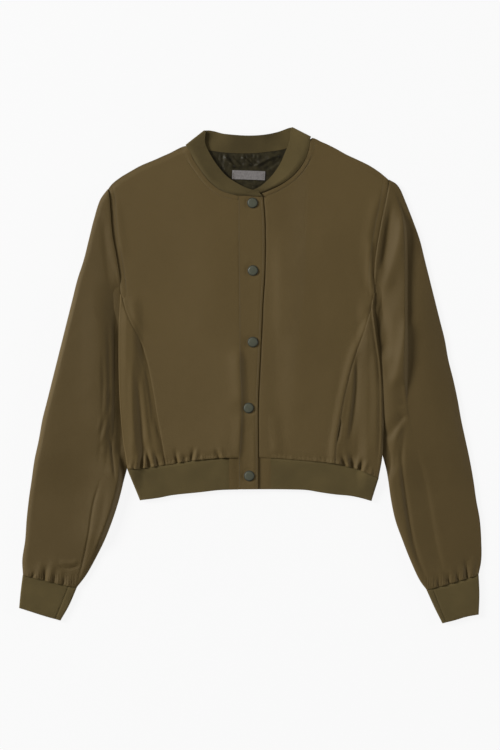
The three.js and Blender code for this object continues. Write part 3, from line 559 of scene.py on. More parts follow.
def grid_area(grid, ring):
    g = np.concatenate([grid, grid[:, :1]], 1) if ring else grid
    diagonal, other = g[1:, 1:] - g[:-1, :-1], g[1:, :-1] - g[:-1, 1:]
    return float(np.linalg.norm(np.cross(diagonal, other), axis=-1).sum() / 2)


def raised(plan, z):
    return np.concatenate([plan, z[..., None]], -1)


def draped(plan, height):
    return raised(plan, height(plan[..., 0], plan[..., 1]))


def sheet(plan, columns, rows, height):
    return draped(plan(*np.meshgrid(columns, rows)), height)


def crowded(count, ends=0.35):
    """Steps from 0 to 1, closer together at both ends."""
    t = np.linspace(0, 1, count)
    return mix(t, 0.5 - 0.5 * np.cos(t * math.pi), ends)


# Heights of the cloth

def lift(x, y):
    return TUCK_LIFT * ease(*TUCK_X, np.abs(x)) * ease(124, 60, y) * ease(-172, -136, y)


def hem_gathers(x, y):
    above = y - hem_seam_y(x)
    rows = [(gx, hem_seam_y(gx), gx + lean, hem_seam_y(gx) + up, width, height)
            for gx, up, lean, width, height in HEM_GATHERS]
    pouch = 0.9 * ease(0, 13, above) * ease(60, 18, above)
    pucker = 0.22 * np.sin(x * 1.35 + 2.2 * np.sin(x * 0.21)) * ease(0.2, 2, above) * ease(10, 3, above)
    return pouch + pucker + GATHER * gathers(rows, x, y) + HEM_PUFF * bell(above, 3)


def groove(x, y, *lines):
    """How far seams pull the cloth down beside them."""
    total = np.zeros(np.shape(x))
    for points in lines:
        total = np.maximum(total, bell(away(points, x, y), GROOVE_WIDTH))
    return -GROOVE_DEPTH * total


def front_height(x, y):
    shoulder = np.minimum(away(SHOULDER_RIGHT, x, y), away(SHOULDER_LEFT, x, y))
    roll = (FRONT_MID - SHOULDER_MID) * ease(9, 0, shoulder) * ease(100, 140, y)
    inside = ease(0, 24, shoulder)
    soft = folds(FRONT_FOLDS, x, y) + 0.30 * ripple(x, y, 70, 3) + 0.10 * ripple(x, y, 26, 4)
    return FRONT_MID - roll + lift(x, y) + hem_gathers(x, y) + soft * inside


def collar_band(x, y, neck):
    """The stitched band round the neck seam."""
    distance = away(neck, x, y)
    return 0.5 * ease(6.6, 5.2, distance) - 0.28 * bell(distance - 6.2, 0.8)


def stitched(x, y, points, inset):
    """The dent of a row of stitches beside a seam."""
    return -0.3 * bell(away(points, x, y) - inset, 0.9)


def right_height(x, y):
    """The lapped front, which climbs onto the placket."""
    z = mix(front_height(x, y), FRONT_MID + folds(FRONT_FOLDS, x, y), ease(-46, -20, x))
    z = z + folds(SEAM_FOLDS, x, y) + (PLACKET_MID - FRONT_MID) * ease(-125, -18, x)
    z = z + collar_band(x, y, NECK_RIGHT) + stitched(x, y, ARMHOLE_RIGHT, ARMHOLE_STITCH)
    return z + groove(x, y, SIDE_SEAM_RIGHT, ARMHOLE_RIGHT, HEM_SEAM) + 0.12 * groove(x, y, PLACKET_SEAM)


def left_height(x, y):
    """The other front, which lies flat where the placket covers it and rises a little to its edge and to the collar."""
    beside = nearest(PLACKET_EDGE, x, y)[0]
    z = mix(FRONT_MID, front_height(x, y), ease(21, 44, x))
    z = z + PLACKET_RISE * ease(-0.5, 2.5, beside) * ease(40, 6, beside) - 0.3 * bell(beside, 1.5)
    z = z + NECK_RISE * ease(18, 2, away(NECK_LEFT, x, y)) * ease(20, 34, x)
    z = z + EDGE_RISE * bell(away(SIDE_SEAM_LEFT, x, y) - 3, 6) * ease(70, 30, y)
    z = z + collar_band(x, y, NECK_LEFT) * ease(16, 24, x) + stitched(x, y, ARMHOLE_LEFT, ARMHOLE_STITCH)
    return z + groove(x, y, SIDE_SEAM_LEFT, ARMHOLE_LEFT, HEM_SEAM)


def side_height(x, y):
    """A side panel, with its pocket in the seam and its fold at the jacket's side."""
    right = np.mean(x) < 0
    seam, fold = (SIDE_SEAM_RIGHT, SIDE_FOLD_RIGHT) if right else (SIDE_SEAM_LEFT, SIDE_FOLD_LEFT)
    low, high = POCKETS["right" if right else "left"]
    from_seam, from_fold = away(seam, x, y), away(fold, x, y)
    above_hem = ease(-130, -100, y)
    pocket = ease(low, low + 14, y) * ease(high, high - 14, y)
    z = front_height(x, y) + folds(SIDE_FOLDS, x, y) + groove(x, y, seam, HEM_SEAM)
    z = z - SIDE_FALL * ease(11, 0, from_fold) * above_hem * ease(110, 90, y)
    z = z + SIDE_LIP * bell(from_fold - 3, 1.7) * ease(0, 1, x) * above_hem
    beside = np.where(x < 0, -SIDE_DIP * ease(9, 0.5, from_seam), SIDE_SWELL * ease(24, 0, from_seam))
    z = z - POCKET_DEPTH * pocket * ease(6, 0.4, from_seam) + beside * ease(60, 30, y)
    return kept_over(z, PANEL_LOWEST)


def back_height(x, y):
    return BACK_MID + lift(x, y)


# Pieces of the body

PANEL_ROWS = crowded(230)
PANEL_COLUMNS = crowded(110)


def hem_line(start, end, up):
    xs = np.linspace(start, end, 24)
    return np.stack([xs, hem_seam_y(xs) + up], -1)


def panel(name, top, left, hem, right, height, columns=PANEL_COLUMNS, rows=PANEL_ROWS):
    plan = patch(top, line(hem_line(*hem, SEAM)), left, right)
    return wall(name, sheet(plan, columns, rows, height), SHELL_WALL, MATERIAL["shell"])


def front_right():
    top = joined(offset(SHOULDER_RIGHT[:-1], -SHOULDER_INSET), offset(NECK_RIGHT, 1.1))
    left = joined(offset(ARMHOLE_RIGHT[:-1], SEAM), [(-180.2, 113)], offset(SIDE_SEAM_RIGHT, SEAM))
    right = line([(-17, 250.4), *offset(PLACKET_SEAM[1:-1], -SEAM)])
    return panel("cloth_front_right", top, left, (-118 + SEAM, -16.5 - SEAM), right, right_height)


def front_left():
    top = joined(offset(NECK_LEFT[:-1], 0.7), offset(SHOULDER_LEFT, -SHOULDER_INSET))
    left = line([(UNDERLAP_X, 249.9), (UNDERLAP_X, 60), (UNDERLAP_X, -115.2)])
    right = joined(offset(ARMHOLE_LEFT[:-1], -SEAM), [(173.8, 116)], offset(SIDE_SEAM_LEFT, -SEAM))
    return panel("cloth_front_left", top, left, (UNDERLAP_X, 119 - SEAM), right, left_height)


def back():
    shoulders = offset(SHOULDER_RIGHT[:-1], -SHOULDER_INSET), offset(SHOULDER_LEFT[1:], -SHOULDER_INSET)
    top = joined(shoulders[0], offset(NECK_BACK, -0.5), shoulders[1])
    left = joined(offset(ARMHOLE_RIGHT[:-1], SEAM), [(-179.8, 114)], offset(BACK_SEAM_RIGHT, SEAM))
    right = joined(offset(ARMHOLE_LEFT[:-1], -SEAM), [(173.4, 118)], offset(BACK_SEAM_LEFT, -SEAM))
    hem = (-146 + SEAM, 150 - SEAM)
    return panel("cloth_back", top, left, hem, right, back_height, crowded(90, 0.7), crowded(100))


def folded(upper, lower, rows, upper_steps, lower_steps, upper_height, lower_height):
    """Rows along the upper layer to a folded edge, round it and back along the lower layer."""
    v = np.asarray(rows)[:, None]
    edge = upper(np.ones_like(v), v)[:, 0]
    high, low = upper_height(edge[:, 0], edge[:, 1])[:, None], lower_height(edge[:, 0], edge[:, 1])[:, None]
    radius = (high - low) / 2
    upper_length = 2 * np.linalg.norm(upper(np.full_like(v, 0.5), v)[:, 0] - edge, axis=-1)[:, None]
    lower_length = 2 * np.linalg.norm(lower(np.full_like(v, 0.5), v)[:, 0] - edge, axis=-1)[:, None]
    across = np.linspace(0, 1, upper_steps)[None] ** 0.8 * (1 - radius / upper_length)
    back_across = mix(radius / lower_length, 1, np.linspace(0, 1, lower_steps)[None])
    first, last = upper(across, v + 0 * across), lower(back_across, v + 0 * back_across)
    angle = np.radians(np.linspace(90, -90, 11)[1:-1])[None]
    inset = radius * (1 - np.cos(angle))
    bend = np.where((angle > 0)[..., None], upper(1 - inset / upper_length, v + 0 * inset),
                    lower(inset / lower_length, v + 0 * inset))
    bend = raised(bend, (low + high) / 2 + radius * np.sin(angle))
    return np.concatenate([draped(first, upper_height), bend, draped(last, lower_height)], 1)


def side_panel(name, front_seam, side_fold, back_seam, side, cloth):
    seam, end = offset(front_seam, -SEAM * side), offset(back_seam, -SEAM * side)
    corner = side_fold[-1][0]
    upper_hem, lower_hem = hem_line(front_seam[-1][0], corner, SEAM), hem_line(corner, back_seam[-1][0], SEAM)
    upper = patch(line([seam[0], side_fold[0]]), line(upper_hem), line(seam), line(side_fold))
    lower = patch(line([side_fold[0], end[0]]), line(lower_hem), line(side_fold), line(end))
    grid = folded(upper, lower, crowded(190), 62, 14, side_height, back_height)
    return wall(name, grid, SHELL_WALL, cloth)


def placket_height(x, y):
    edge = away(PLACKET_EDGE, x, y)
    z = PLACKET_MID + 0.12 * ripple(x, y, 22, 8)
    z = z - 0.25 * bell(edge, 1) - 0.22 * bell(edge - 3.2, 0.9)
    z = z + folds(PLACKET_FOLDS, x, y) + folds(SEAM_FOLDS, x, y)
    for snap_x, snap_y in SNAPS:
        z = z - SNAP_DENT * bell(np.hypot(x - snap_x, y - snap_y) - 8.6, 2.4)
    return z


def placket():
    plan = patch(line([(-17 + SEAM, 251), (0, 251), (17.5, 250.4)]), line([(-16.5, -159.6), (11, -159.6)]),
                 line([(-17 + SEAM, 251), *offset(PLACKET_SEAM[1:], SEAM)]), line([(17.5, 250.4), *PLACKET_EDGE[1:]]))
    return wall("cloth_placket", sheet(plan, crowded(30, 0.6), np.linspace(0, 1, 300), placket_height), SHELL_WALL,
                MATERIAL["shell"])


def hem_point(seam_x, edge_x, v):
    seam = np.stack(np.broadcast_arrays(seam_x, hem_seam_y(seam_x) - SEAM), -1)
    edge = np.stack(np.broadcast_arrays(edge_x, hem_edge_y(edge_x)), -1)
    return mix(seam, edge, v)


def rib_high(x, y):
    low = away(HEM_SEAM, x, y)
    return RIB_FRONT_MID + lift(x, y) - 1.5 * bell(low, 2) + 0.18 * ripple(x, y, 40, 11)


def rib_low(x, y):
    return RIB_BACK_MID + lift(x, y)


def hem_half(side, end, rows):
    seam_x, edge_x = side
    return folded(lambda t, v: hem_point(mix(end, seam_x, t), mix(end, edge_x, t), v[..., None]),
                  lambda t, v: hem_point(mix(seam_x, 0, t), mix(edge_x, 0, t), v[..., None]),
                  rows, 120, 40, rib_high, rib_low)


def hem_rib():
    rows = crowded(30)
    right, left = hem_half(HEM_SIDE_RIGHT, -TAB_X - SEAM, rows), hem_half(HEM_SIDE_LEFT, TAB_X + SEAM, rows)
    return wall("knit_hem_band", np.concatenate([right, left[:, ::-1][:, 1:]], 1), RIB_WALL, MATERIAL["rib"])


def hem_tab(name, start, end, height):
    u, v = np.meshgrid(np.linspace(0, 1, 14), np.linspace(0, 1, 24))
    x = mix(start, end, u)
    flat = hem_point(x, x, v[..., None])
    return wall(name, raised(flat, height(x) + 0.5 * groove(flat[..., 0], flat[..., 1], HEM_SEAM)), SHELL_WALL,
                MATERIAL["shell"])


# Sleeves and cuffs

def tube(name, plan, low, high, rows, steps, thickness, material):
    """A flattened tube: each loop runs over the upper layer from the outer fold to the inner one, then back below."""
    angle = np.radians(np.linspace(0, 90, 6)[1:])
    v = np.asarray(rows)[:, None]
    ends = np.broadcast_to([0.0, 1.0], (len(rows), 2))
    radius = (high(ends, v, plan(ends, v + 0 * ends)) - low) / 2 / square_width(plan, rows)
    outer, inner = radius[:, :1] * (1 - np.cos(angle)), 1 - radius[:, 1:] * (1 - np.cos(angle[::-1]))
    layers = []
    for count in steps:
        between = mix(radius[:, :1], 1 - radius[:, 1:], np.linspace(0, 1, count)[1:-1][None])
        u = np.concatenate([0 * v, outer, between, inner, 0 * v + 1], 1)
        rise = np.concatenate([[0], np.sin(angle), np.ones(count - 2), np.sin(angle[::-1]), [0]])[None]
        across = plan(u, v + 0 * u)
        top = high(u, v + 0 * u, across)
        sign = 1 if not layers else -1
        layers.append(raised(across, mix(low, top, 0.5 + sign * rise / 2)))
    return wall(name, np.concatenate([layers[0], layers[1][:, 1:-1][:, ::-1]], 1), thickness, material, ring=True)


def square_width(plan, rows):
    """Millimetres for the whole of u, square to each fold."""
    result = []
    for u, inside in ((0.0, 0.02), (1.0, 0.98)):
        at, near = np.full(len(rows), u), np.full(len(rows), inside)
        along = plan(at, np.minimum(1, rows + 0.01)) - plan(at, np.maximum(0, rows - 0.01))
        along /= np.linalg.norm(along, axis=-1, keepdims=True)
        across = plan(near, rows) - plan(at, rows)
        result.append(np.abs(across[:, 0] * along[:, 1] - across[:, 1] * along[:, 0]) / 0.02)
    return np.stack(result, 1)


def sleeve(name, outer_fold, inner_fold, armhole, cuff_seam, inner_rise, outer_rise):
    """A sleeve that rises from its folds over so many millimetres, and less beside the body."""
    outer, inner = line(outer_fold), line(inner_fold)
    plan = patch(line(armhole), line(cuff_seam), lambda t: outer(1 - (1 - t) ** FAN), lambda t: inner(t**FAN))

    def high(u, v, at):
        x, y = at[..., 0], at[..., 1]
        from_inner, from_outer = away(inner_fold, x, y), away(outer_fold, x, y)
        end = ease(0.94, 1, v)
        beside_body = ease(-170, -100, y) * ease(150, 90, y)
        tucked = ease(-150, -110, y)
        start, stop = RISE_START * tucked, mix(8, inner_rise, tucked)
        inward = 1 - (1 - np.clip((from_inner - start) / (stop - start), 0, 1)) ** 2
        outward = 1 - (1 - np.clip(from_outer / outer_rise, 0, 1)) ** 2
        puff = (SLEEVE_PUFF + BESIDE_BODY * beside_body) * inward * outward * (1 - 0.45 * end)
        mouth = 0.9 * ease(0.05, 0, v) * ease(1, 0.8, u)
        pucker = 0.25 * np.sin(x * 1.5 + 2 * np.sin(x * 0.3)) * ease(0.955, 0.985, v) * ease(1, 0.993, v)
        soft = folds(SLEEVE_FOLDS, x, y) + CUFF_GATHER * gathers(CUFF_GATHERS, x, y) + pucker
        soft = soft + 0.35 * ripple(x, y, 60, 5) + 0.12 * ripple(x, y, 22, 6)
        soft = soft * ease(0, 1, (from_inner - mix(0, 5, tucked)) / 8) * ease(1, 12, from_outer)
        seams = 0.8 * groove(x, y, armhole) + 0.8 * groove(x, y, cuff_seam)
        return kept_over(SLEEVE_FOLD_MID + puff + soft + mouth + 0.8 * end + seams, SLEEVE_LOWEST, 2)
    return tube(name, plan, SLEEVE_WALL / 2, high, crowded(280, 0.6), (110, 34), SLEEVE_WALL, MATERIAL["sleeve"])


def cuff(name, cuff_seam, end, outer_middle, inner_middle, seam_line):
    start = [(x, y + CUFF_TUCK) for x, y in cuff_seam]
    outer, inner = [start[0], outer_middle, end[0]], [start[-1], inner_middle, end[-1]]
    plan = patch(line(start), line(end), line(outer), line(inner))

    def high(u, v, at):
        x, y = at[..., 0], at[..., 1]
        dent = -0.75 * bell(away(seam_line, x, y), 1.1)
        soft = (dent + 0.15 * ripple(x, y, 24, 9)) * ease(0, 6, away(inner, x, y))
        return CUFF_MIDS[1] + soft - 1.6 * bell(v, 0.05)
    return tube(name, plan, CUFF_MIDS[0], high, np.linspace(0, 1, 40), (70, 40), RIB_WALL, MATERIAL["rib"])


# Collar, lining and label

def collar_fold(row):
    x0, y0, x1, y1, base_way, upper_way, lower_way = row
    low, high = COLLAR_FOLD_Z
    radius = (high - low) / 2
    sections = []
    for degrees in (90, 60, 30, 0, -30, -60, -90):
        angle = math.radians(degrees)
        inset, z = radius * (1 - math.cos(angle)), (low + high) / 2 + radius * math.sin(angle)
        way = upper_way if degrees > 0 else lower_way
        pull = 0.05 * math.cos(angle)
        sections.append((x0 + base_way[0] * inset, y0 + base_way[1] * inset, z,
                         mix(x1, x0, pull) + way[0] * inset, mix(y1, y0, pull) + way[1] * inset, z + 0.8))
    return sections


def collar():
    sections = (COLLAR_FRONT_RIGHT + collar_fold(COLLAR_FOLDS[0]) + COLLAR_BACK + collar_fold(COLLAR_FOLDS[1])[::-1]
                + COLLAR_FRONT_LEFT)
    dense = smooth(sections, 9)
    t = np.linspace(0, 1, 24)[None, :]
    grid = mix(dense[:, None, :3], dense[:, None, 3:], t[..., None])
    x, free_height = dense[:, None, 0], dense[:, None, 5]
    front = ease(3, 6, free_height)
    loose = front * (1 - bell(x - 4, 17))
    crest = 1 - (1 - np.minimum(t / COLLAR_CREST, 1)) ** 2
    fall = np.maximum(t - COLLAR_CREST, 0) / (1 - COLLAR_CREST)
    settled = 1 - 0.8 * ease(292, 324, dense[:, None, 1])
    bow = mix(COLLAR_BOW, COLLAR_BOW_LEFT, ease(-10, 10, x))
    grid[..., 2] += loose * settled * (bow * crest - COLLAR_DROP * fall) - 0.9 * bell(t, 0.08) * front
    grid[..., 2] += (1 - front) * COLLAR_STAND * t * ease(60, 22, np.abs(x + 2))
    return wall("knit_collar", grid, RIB_WALL, MATERIAL["rib_collar_painted_light"])


def lining_height(x, y):
    open_part = ease(1, 7, nearest(OPENING, x, y)[0]) * ease(311, 306, y)
    label = ease(1.5, 0.8, np.hypot((x - LABEL[0]) / 27, (y - LABEL[1]) / 10))
    hung = 0.35 * np.sin(x * 0.8 + 4 * np.sin(x * 0.13)) * ease(292, 305, y)
    soft = LINING_CREASE * folds(LINING_FOLDS, x, y) + 0.6 * ripple(x, y, 12, 21) + hung
    return kept_over(LINING_MID + (0.6 + soft) * open_part * (1 - label), LINING_LOWEST)


def lining_back():
    top = line([(-73, 317.6), (-63, 316), (-42, 312.8), (-20, 311.2), (3, 311.2), (25, 313.2), (49, 317.2),
                (64, 320.6)])
    plan = patch(top, line([(-92, 236), (0, 234), (88, 236)]), line([(-73, 317.6), (-84, 285), (-92, 236)]),
                 line([(64, 320.6), (80, 285), (88, 236)]))
    return wall("cloth_lining", sheet(plan, np.linspace(0, 1, 130), np.linspace(0, 1, 84), lining_height), LINING_WALL,
                MATERIAL["lining"])


def label():
    x0, y0, length, width, tilt = LABEL
    u, v = np.meshgrid(np.linspace(-0.5, 0.5, 46), np.linspace(0.5, -0.5, 14))
    x, y = u * length, v * width
    turn = math.radians(tilt)
    z = LABEL_MID + 0.16 * np.sin(u * 5 + 0.6) + 0.1 * ripple(x, y, 16, 31)
    grid = np.stack([x0 + x * math.cos(turn) - y * math.sin(turn), y0 + x * math.sin(turn) + y * math.cos(turn), z], -1)
    return wall("woven_label", grid, LABEL_WALL, MATERIAL["label"])


# Press studs and stitches

def ring_faces(base, count, sides):
    """Quads between rings of points that follow each other."""
    return [(k + i, k + (i + 1) % sides, k + sides + (i + 1) % sides, k + sides + i)
            for k in range(base, base + (count - 1) * sides, sides) for i in range(sides)]


def snap(name, x, y):
    """A turned cap, with painted shade on its rim, where the cap meets the cloth."""
    sides, count = SNAP_SIDES, len(SNAP_OUTLINE)
    base = PLACKET_MID + SHELL_WALL / 2 + SNAP_LIFT - SNAP_DENT
    turn = np.linspace(0, 2 * math.pi, sides, endpoint=False)
    rings = [np.stack([x + r * np.cos(turn), y + r * np.sin(turn), np.full(sides, base + h)], -1)
             for r, h in SNAP_OUTLINE]
    vertices = np.concatenate([*rings, [[x, y, base]], [[x, y, base + SNAP_OUTLINE[-1][1]]]])
    faces = ring_faces(0, count, sides)
    # The faces of the rim rings get the painted shade
    shaded_rim = [min(face) < SNAP_SHADED_RIM_RINGS * sides for face in faces] + [False] * (2 * sides)
    bottom, last = count * sides, (count - 1) * sides
    faces += [(bottom, (i + 1) % sides, i) for i in range(sides)]
    faces += [(bottom + 1, last + i, last + (i + 1) % sides) for i in range(sides)]
    piece = finish_mesh(name, vertices, faces, MATERIAL["snap"])
    piece.data.materials.append(MATERIAL["snap_rim_painted_shade"])
    piece.data.polygons.foreach_set("material_index", shaded_rim)
    return piece


def stitches(name, rows):
    """Rows of short threads on the cloth: the line, its inset, the cloth's height and the share that is sewn."""
    vertices, faces = [], []
    ring = np.radians(np.arange(0, 360, 60))
    sides, count = len(ring), len(STITCH_OUTLINE)
    for points, inset, height, start, stop in rows:
        path = line(offset(points, inset))
        total = np.hypot(*np.diff(path(np.linspace(0, 1, 200)), axis=0).T).sum()
        for t in np.arange(start, stop, STITCH_STEP / total):
            centre, ahead = path(np.array([t, t + 0.5 / total]))
            along = (ahead - centre) / np.hypot(*(ahead - centre))
            square = np.array([-along[1], along[0]])
            z = float(height(centre[:1], centre[1:])[0]) + SHELL_WALL / 2 + STITCH_RAISE
            base = len(vertices)
            for shift, size in STITCH_OUTLINE:
                radius, sunk = size * STITCH_RADIUS, STITCH_SINK * (2 * shift) ** 2
                for a in ring:
                    x, y = centre + along * shift * STITCH_LENGTH + square * math.cos(a) * radius
                    vertices.append((x, y, z - sunk + math.sin(a) * radius))
            faces += ring_faces(base, count, sides)
            faces += [tuple(range(base, base + sides))[::-1], tuple(range(len(vertices) - sides, len(vertices)))]
    return finish_mesh(name, vertices, faces, MATERIAL["thread"])


def label_top(x, y):
    return np.full(np.shape(x), LABEL_MID - 0.5)


def all_stitches():
    x0, y0, length, width, _ = LABEL
    half, reach = length / 2 - 2, width / 2 - 1
    ends = [[(x0 + side * half, y0 - reach), (x0 + side * half, y0 + reach)] for side in (-1, 1)]
    rows = [
        (NECK_RIGHT, -NECK_STITCH, right_height, 0.0, 0.93),
        (NECK_LEFT, -NECK_STITCH, left_height, 0.28, 0.99),
        (ARMHOLE_RIGHT, ARMHOLE_STITCH, right_height, 0.04, 0.96),
        (ARMHOLE_LEFT, -ARMHOLE_STITCH, left_height, 0.05, 0.96),
        (PLACKET_EDGE, -EDGE_STITCH, placket_height, 0.004, 0.995),
        (PLACKET_SEAM, PLACKET_STITCH, placket_height, 0.004, 0.995),
    ]
    return [stitches("stitches", rows), stitches("label_stitches", [(end, 0, label_top, 0.03, 0.97) for end in ends])]


# Materials

class Nodes:
    """Short calls for building one material's nodes."""

    def __init__(self, name, **settings):
        self.material = bpy.data.materials.new(name)
        self.material.use_nodes = True
        self.tree = self.material.node_tree
        self.shader = self.tree.nodes["Principled BSDF"]
        for key, value in settings.items():
            self.shader.inputs[key.replace("_", " ")].default_value = value

    def add(self, kind, inputs, **values):
        """A new node, with each of its inputs set or linked."""
        node = self.tree.nodes.new(kind)
        for key, value in values.items():
            setattr(node, key, value)
        for key, value in inputs.items():
            if isinstance(value, bpy.types.NodeSocket):
                self.tree.links.new(value, node.inputs[key])
            elif value is not None:
                node.inputs[key].default_value = value
        return node

    def finish(self, colour, normal=None):
        self.tree.links.new(colour, self.shader.inputs["Base Color"])
        if normal is not None:
            self.tree.links.new(normal, self.shader.inputs["Normal"])
        return self.material

    def math(self, operation, a, b=None):
        return self.add("ShaderNodeMath", {0: a, 1: b}, operation=operation).outputs[0]

    def wave(self, value, length):
        return self.math("SINE", self.math("MULTIPLY", value, TURN / length))

    def multiply(self, a, b):
        """One colour times another."""
        return self.add("ShaderNodeMix", {0: 1, 6: a, 7: b}, data_type="RGBA", blend_type="MULTIPLY").outputs[2]

    def cloth(self):
        """The cloth's own directions, across and along it, in metres."""
        uv = self.add("ShaderNodeUVMap", {}, uv_map="cloth")
        return self.add("ShaderNodeSeparateXYZ", {0: uv.outputs[0]}).outputs[:2]

    def place(self):
        return self.add("ShaderNodeTexCoord", {}).outputs["Object"]

    def noise(self, scale, detail=3.0, roughness=0.5):
        inputs = {"Vector": self.place(), "Scale": scale, "Detail": detail, "Roughness": roughness}
        return self.add("ShaderNodeTexNoise", inputs).outputs[0]

    def colours(self, factor, low, high, a=0.3, b=0.7):
        ramp = self.add("ShaderNodeValToRGB", {0: factor})
        for stop, position, colour in zip(ramp.color_ramp.elements, (a, b), (low, high)):
            stop.position, stop.color = position, (*colour, 1)
        return ramp.outputs[0]

    def bump(self, height, distance, strength=1.0, under=None):
        inputs = {"Strength": strength, "Distance": distance, "Height": height, "Normal": under}
        return self.add("ShaderNodeBump", inputs).outputs[0]


def shade(colour, by):
    return tuple(c * by for c in colour)


def shell_material(name, tone):
    """Fine satin twill: slanted threads, slight mottling and a soft sheen."""
    m = Nodes(name, Roughness=0.6, Sheen_Weight=0.08, Sheen_Roughness=0.45, Sheen_Tint=(0.85, 0.66, 0.3, 1),
              Specular_IOR_Level=0.12)
    across, along = m.cloth()
    slant = m.wave(m.math("ADD", across, m.math("MULTIPLY", along, 0.55)), 0.0007)
    weave = m.math("ADD", slant, m.math("MULTIPLY", m.wave(across, 0.00042), 0.5))
    blotch = m.colours(m.noise(9, 4), shade(SHELL_DEEP, tone), shade(SHELL, tone), 0.25, 0.72)
    speck = m.colours(m.noise(1500, 2), (0.9,) * 3, (1.07,) * 3)
    crinkle = m.bump(m.noise(120, 4, 0.55), 0.00025, 0.35)
    return m.finish(m.multiply(blotch, speck), m.bump(weave, 0.00005, 0.5, crinkle))


def rib_material(name, west, east):
    """Fine knitted rib: rounded columns of small loops, matt, with painted shade in the grooves between the columns,
    and tones at its west and east end that are painted shade and painted light on the collar.
    """
    m = Nodes(name, Roughness=0.9, Sheen_Weight=0.12, Sheen_Roughness=0.6, Sheen_Tint=(0.7, 0.64, 0.46, 1),
              Specular_IOR_Level=0.1)
    across, along = m.cloth()
    column = m.math("ABSOLUTE", m.math("SINE", m.math("MULTIPLY", across, 3.1416 / 0.0012)))
    loop = m.wave(m.math("ADD", along, m.math("MULTIPLY", column, 0.0006)), 0.0012)
    knit = m.math("ADD", column, m.math("MULTIPLY", loop, 0.16))
    blotch = m.colours(m.noise(26, 4), shade(RIB, 0.86), shade(RIB, 1.09))
    # Painted shade: the colour darkens in the grooves between the rib columns
    lines = m.multiply(blotch, m.colours(column, (0.88,) * 3, (1.04,) * 3, 0, 0.6))
    x = m.add("ShaderNodeSeparateXYZ", {0: m.place()}).outputs[0]
    # Painted light and shade: darker towards the west, lighter towards the east, by object x
    tone = m.colours(m.math("MULTIPLY", m.math("SUBTRACT", x, 0.022), 26), (west,) * 3, (east,) * 3, 0, 1)
    fuzz = m.bump(m.noise(900, 3), 0.0002, 0.3)
    return m.finish(m.multiply(lines, tone), m.bump(knit, 0.0003, 0.5, fuzz))


def lining_material():
    """Thin smooth lining, dark and finely crinkled, with painted highlights on the crinkles' tops and painted shade in
    their hollows.
    """
    m = Nodes("lining", Roughness=0.5, Specular_IOR_Level=0.16)
    crinkle = m.noise(120, 4, 0.55)
    # The colour follows the crinkles: painted highlights on their tops, painted shade in their hollows
    return m.finish(m.colours(crinkle, shade(LINING, 0.7), shade(LINING, 1.5), 0.35, 0.7), m.bump(crinkle, 0.0022, 0.7))


def label_material():
    """Bare woven label with fine cross threads."""
    m = Nodes("label", Roughness=0.7, Sheen_Weight=0.1)
    across, along = m.cloth()
    weave = m.math("MULTIPLY", m.wave(across, 0.0005), m.wave(along, 0.00045))
    woven = m.math("ADD", m.math("MULTIPLY", weave, 0.25), m.noise(420, 3))
    colour = m.colours(woven, shade(LABEL_GREY, 0.7), shade(LABEL_GREY, 1.25), 0.25, 0.75)
    return m.finish(colour, m.bump(weave, 0.0001, 0.6))


def thread_material():
    m = Nodes("thread", Roughness=0.6, Sheen_Weight=0.2)
    return m.finish(m.colours(m.noise(700, 2), shade(THREAD, 0.85), shade(THREAD, 1.15)))


def snap_material(name, tone):
    """Satin enamel on metal, slightly uneven."""
    m = Nodes(name, Roughness=0.55, Metallic=0.0, Coat_Weight=0.1)
    colour = m.colours(m.noise(260, 3), shade(SNAP, 0.88 * tone), shade(SNAP, 1.12 * tone))
    return m.finish(colour, m.bump(m.noise(600, 3), 0.0001, 0.3))


def floor_material():
    m = Nodes("floor", Roughness=1.0, Emission_Strength=FLOOR_GLOW, Emission_Color=(1, 1, 1, 1), Specular_IOR_Level=0)
    return m.finish(m.colours(m.noise(3, 2), shade(FLOOR, 0.997), FLOOR))


# Camera, light and floor

def add_camera():
    data = bpy.data.cameras.new("camera")
    data.lens = 36 / 2 / (FRAME_HEIGHT / 2 / CAMERA_HEIGHT)
    data.clip_end = 20
    camera = add_object("camera", data)
    camera.location = (0, 0, CAMERA_HEIGHT)
    bpy.context.scene.camera = camera


def area_light(name, where, size, power):
    """A square softbox that faces the jacket."""
    data = bpy.data.lights.new(name, "AREA")
    data.size = size
    data.energy = power
    light = add_object(name, data)
    light.location = x, y, z = where
    light.rotation_euler = (math.atan2(math.hypot(x, y), z), 0, math.atan2(x, -y))


def add_stage():
    mesh = bpy.data.meshes.new("floor")
    corners = [(x * FLOOR_HALF, y * FLOOR_HALF, FLOOR_Z) for x, y in ((-1, -1), (1, -1), (1, 1), (-1, 1))]
    mesh.from_pydata(corners, [], [(0, 1, 2, 3)])
    mesh.materials.append(floor_material())
    add_object("floor", mesh)
    world = bpy.data.worlds.new("world")
    world.use_nodes = True
    background = world.node_tree.nodes["Background"]
    background.inputs[0].default_value = (1, 1, 1, 1)
    background.inputs[1].default_value = WORLD
    bpy.context.scene.world = world
    for name, (where, size, power) in LIGHTS.items():
        area_light(name, where, size, power)


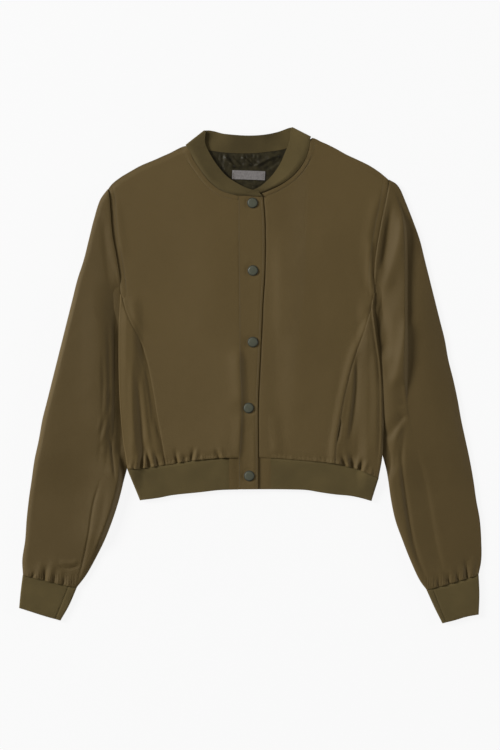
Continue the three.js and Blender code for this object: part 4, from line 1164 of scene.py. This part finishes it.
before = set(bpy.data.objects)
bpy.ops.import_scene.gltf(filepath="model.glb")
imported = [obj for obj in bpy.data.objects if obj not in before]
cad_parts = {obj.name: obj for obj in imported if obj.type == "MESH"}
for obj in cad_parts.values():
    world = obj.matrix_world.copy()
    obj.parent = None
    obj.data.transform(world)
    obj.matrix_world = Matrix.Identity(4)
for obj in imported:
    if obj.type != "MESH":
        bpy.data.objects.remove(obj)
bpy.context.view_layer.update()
bpy.context.scene.view_settings.view_transform = "Standard"
add_camera()
MATERIAL = {
    "shell": shell_material("shell", 1.0),
    "sleeve": shell_material("shell_sleeve", SLEEVE_TONE),
    # Painted shade: the left side panel's cloth is made darker
    "side": shell_material("shell_side_painted_shade", SIDE_PAINTED_SHADE),
    "rib": rib_material("rib", 1, 1),
    # The collar's rib has painted shade at its west end and painted light at its east end
    "rib_collar_painted_light": rib_material("rib_collar_painted_light", *COLLAR_PAINTED_SHADE_AND_LIGHT),
    "lining": lining_material(),
    "label": label_material(),
    "thread": thread_material(),
    "snap": snap_material("snap", 1.0),
    # Painted shade on the snaps' rims
    "snap_rim_painted_shade": snap_material("snap_rim_painted_shade", SNAP_RIM_PAINTED_SHADE),
}


def place(piece, node):
    """Puts a piece in the place of its node."""
    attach(piece, "root")
    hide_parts(node)


place(back(), "back")
place(front_right(), "front_right")
place(front_left(), "front_left")
place(side_panel("cloth_side_right", SIDE_SEAM_RIGHT, SIDE_FOLD_RIGHT, BACK_SEAM_RIGHT, 1, MATERIAL["shell"]),
      "side_right")
# The left side panel's cloth carries painted shade
place(side_panel("cloth_side_left", SIDE_SEAM_LEFT, SIDE_FOLD_LEFT, BACK_SEAM_LEFT, -1, MATERIAL["side"]),
      "side_left")
place(placket(), "placket")
place(hem_rib(), "hem_rib")
place(hem_tab("cloth_hem_end_right", -TAB_X + SEAM, -16.5 - SEAM,
              lambda x: mix(PLACKET_MID - 0.4, PLACKET_MID - 1.0, ease(-TAB_X, -17, x))),
      "hem_tab_right")
place(hem_tab("cloth_hem_end_left", UNDERLAP_X, TAB_X - SEAM, lambda x: np.full(np.shape(x), TAB_MID)),
      "hem_tab_left")
place(sleeve("cloth_sleeve_right", SLEEVE_RIGHT_OUTER, SLEEVE_RIGHT_INNER, offset(ARMHOLE_RIGHT, SLEEVE_TUCK),
             CUFF_SEAM_RIGHT, 42, 7), "sleeve_right")
place(sleeve("cloth_sleeve_left", SLEEVE_LEFT_OUTER, SLEEVE_LEFT_INNER, offset(ARMHOLE_LEFT, -SLEEVE_TUCK),
             CUFF_SEAM_LEFT, 32, 38), "sleeve_left")
place(cuff("knit_cuff_right", CUFF_SEAM_RIGHT, CUFF_END_RIGHT, (-320, -304), (-254, -322), CUFF_LINE_RIGHT),
      "cuff_right")
place(cuff("knit_cuff_left", CUFF_SEAM_LEFT, CUFF_END_LEFT, (320, -308), (259, -325), CUFF_LINE_LEFT),
      "cuff_left")
place(collar(), "collar")
place(lining_back(), "lining_back")
place(label(), "label")
for number, (snap_x, snap_y) in enumerate(SNAPS, 1):
    place(snap(f"stud_{number}", snap_x, snap_y), f"snap_{number}")
for thread in all_stitches():
    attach(thread, "root")
add_stage()
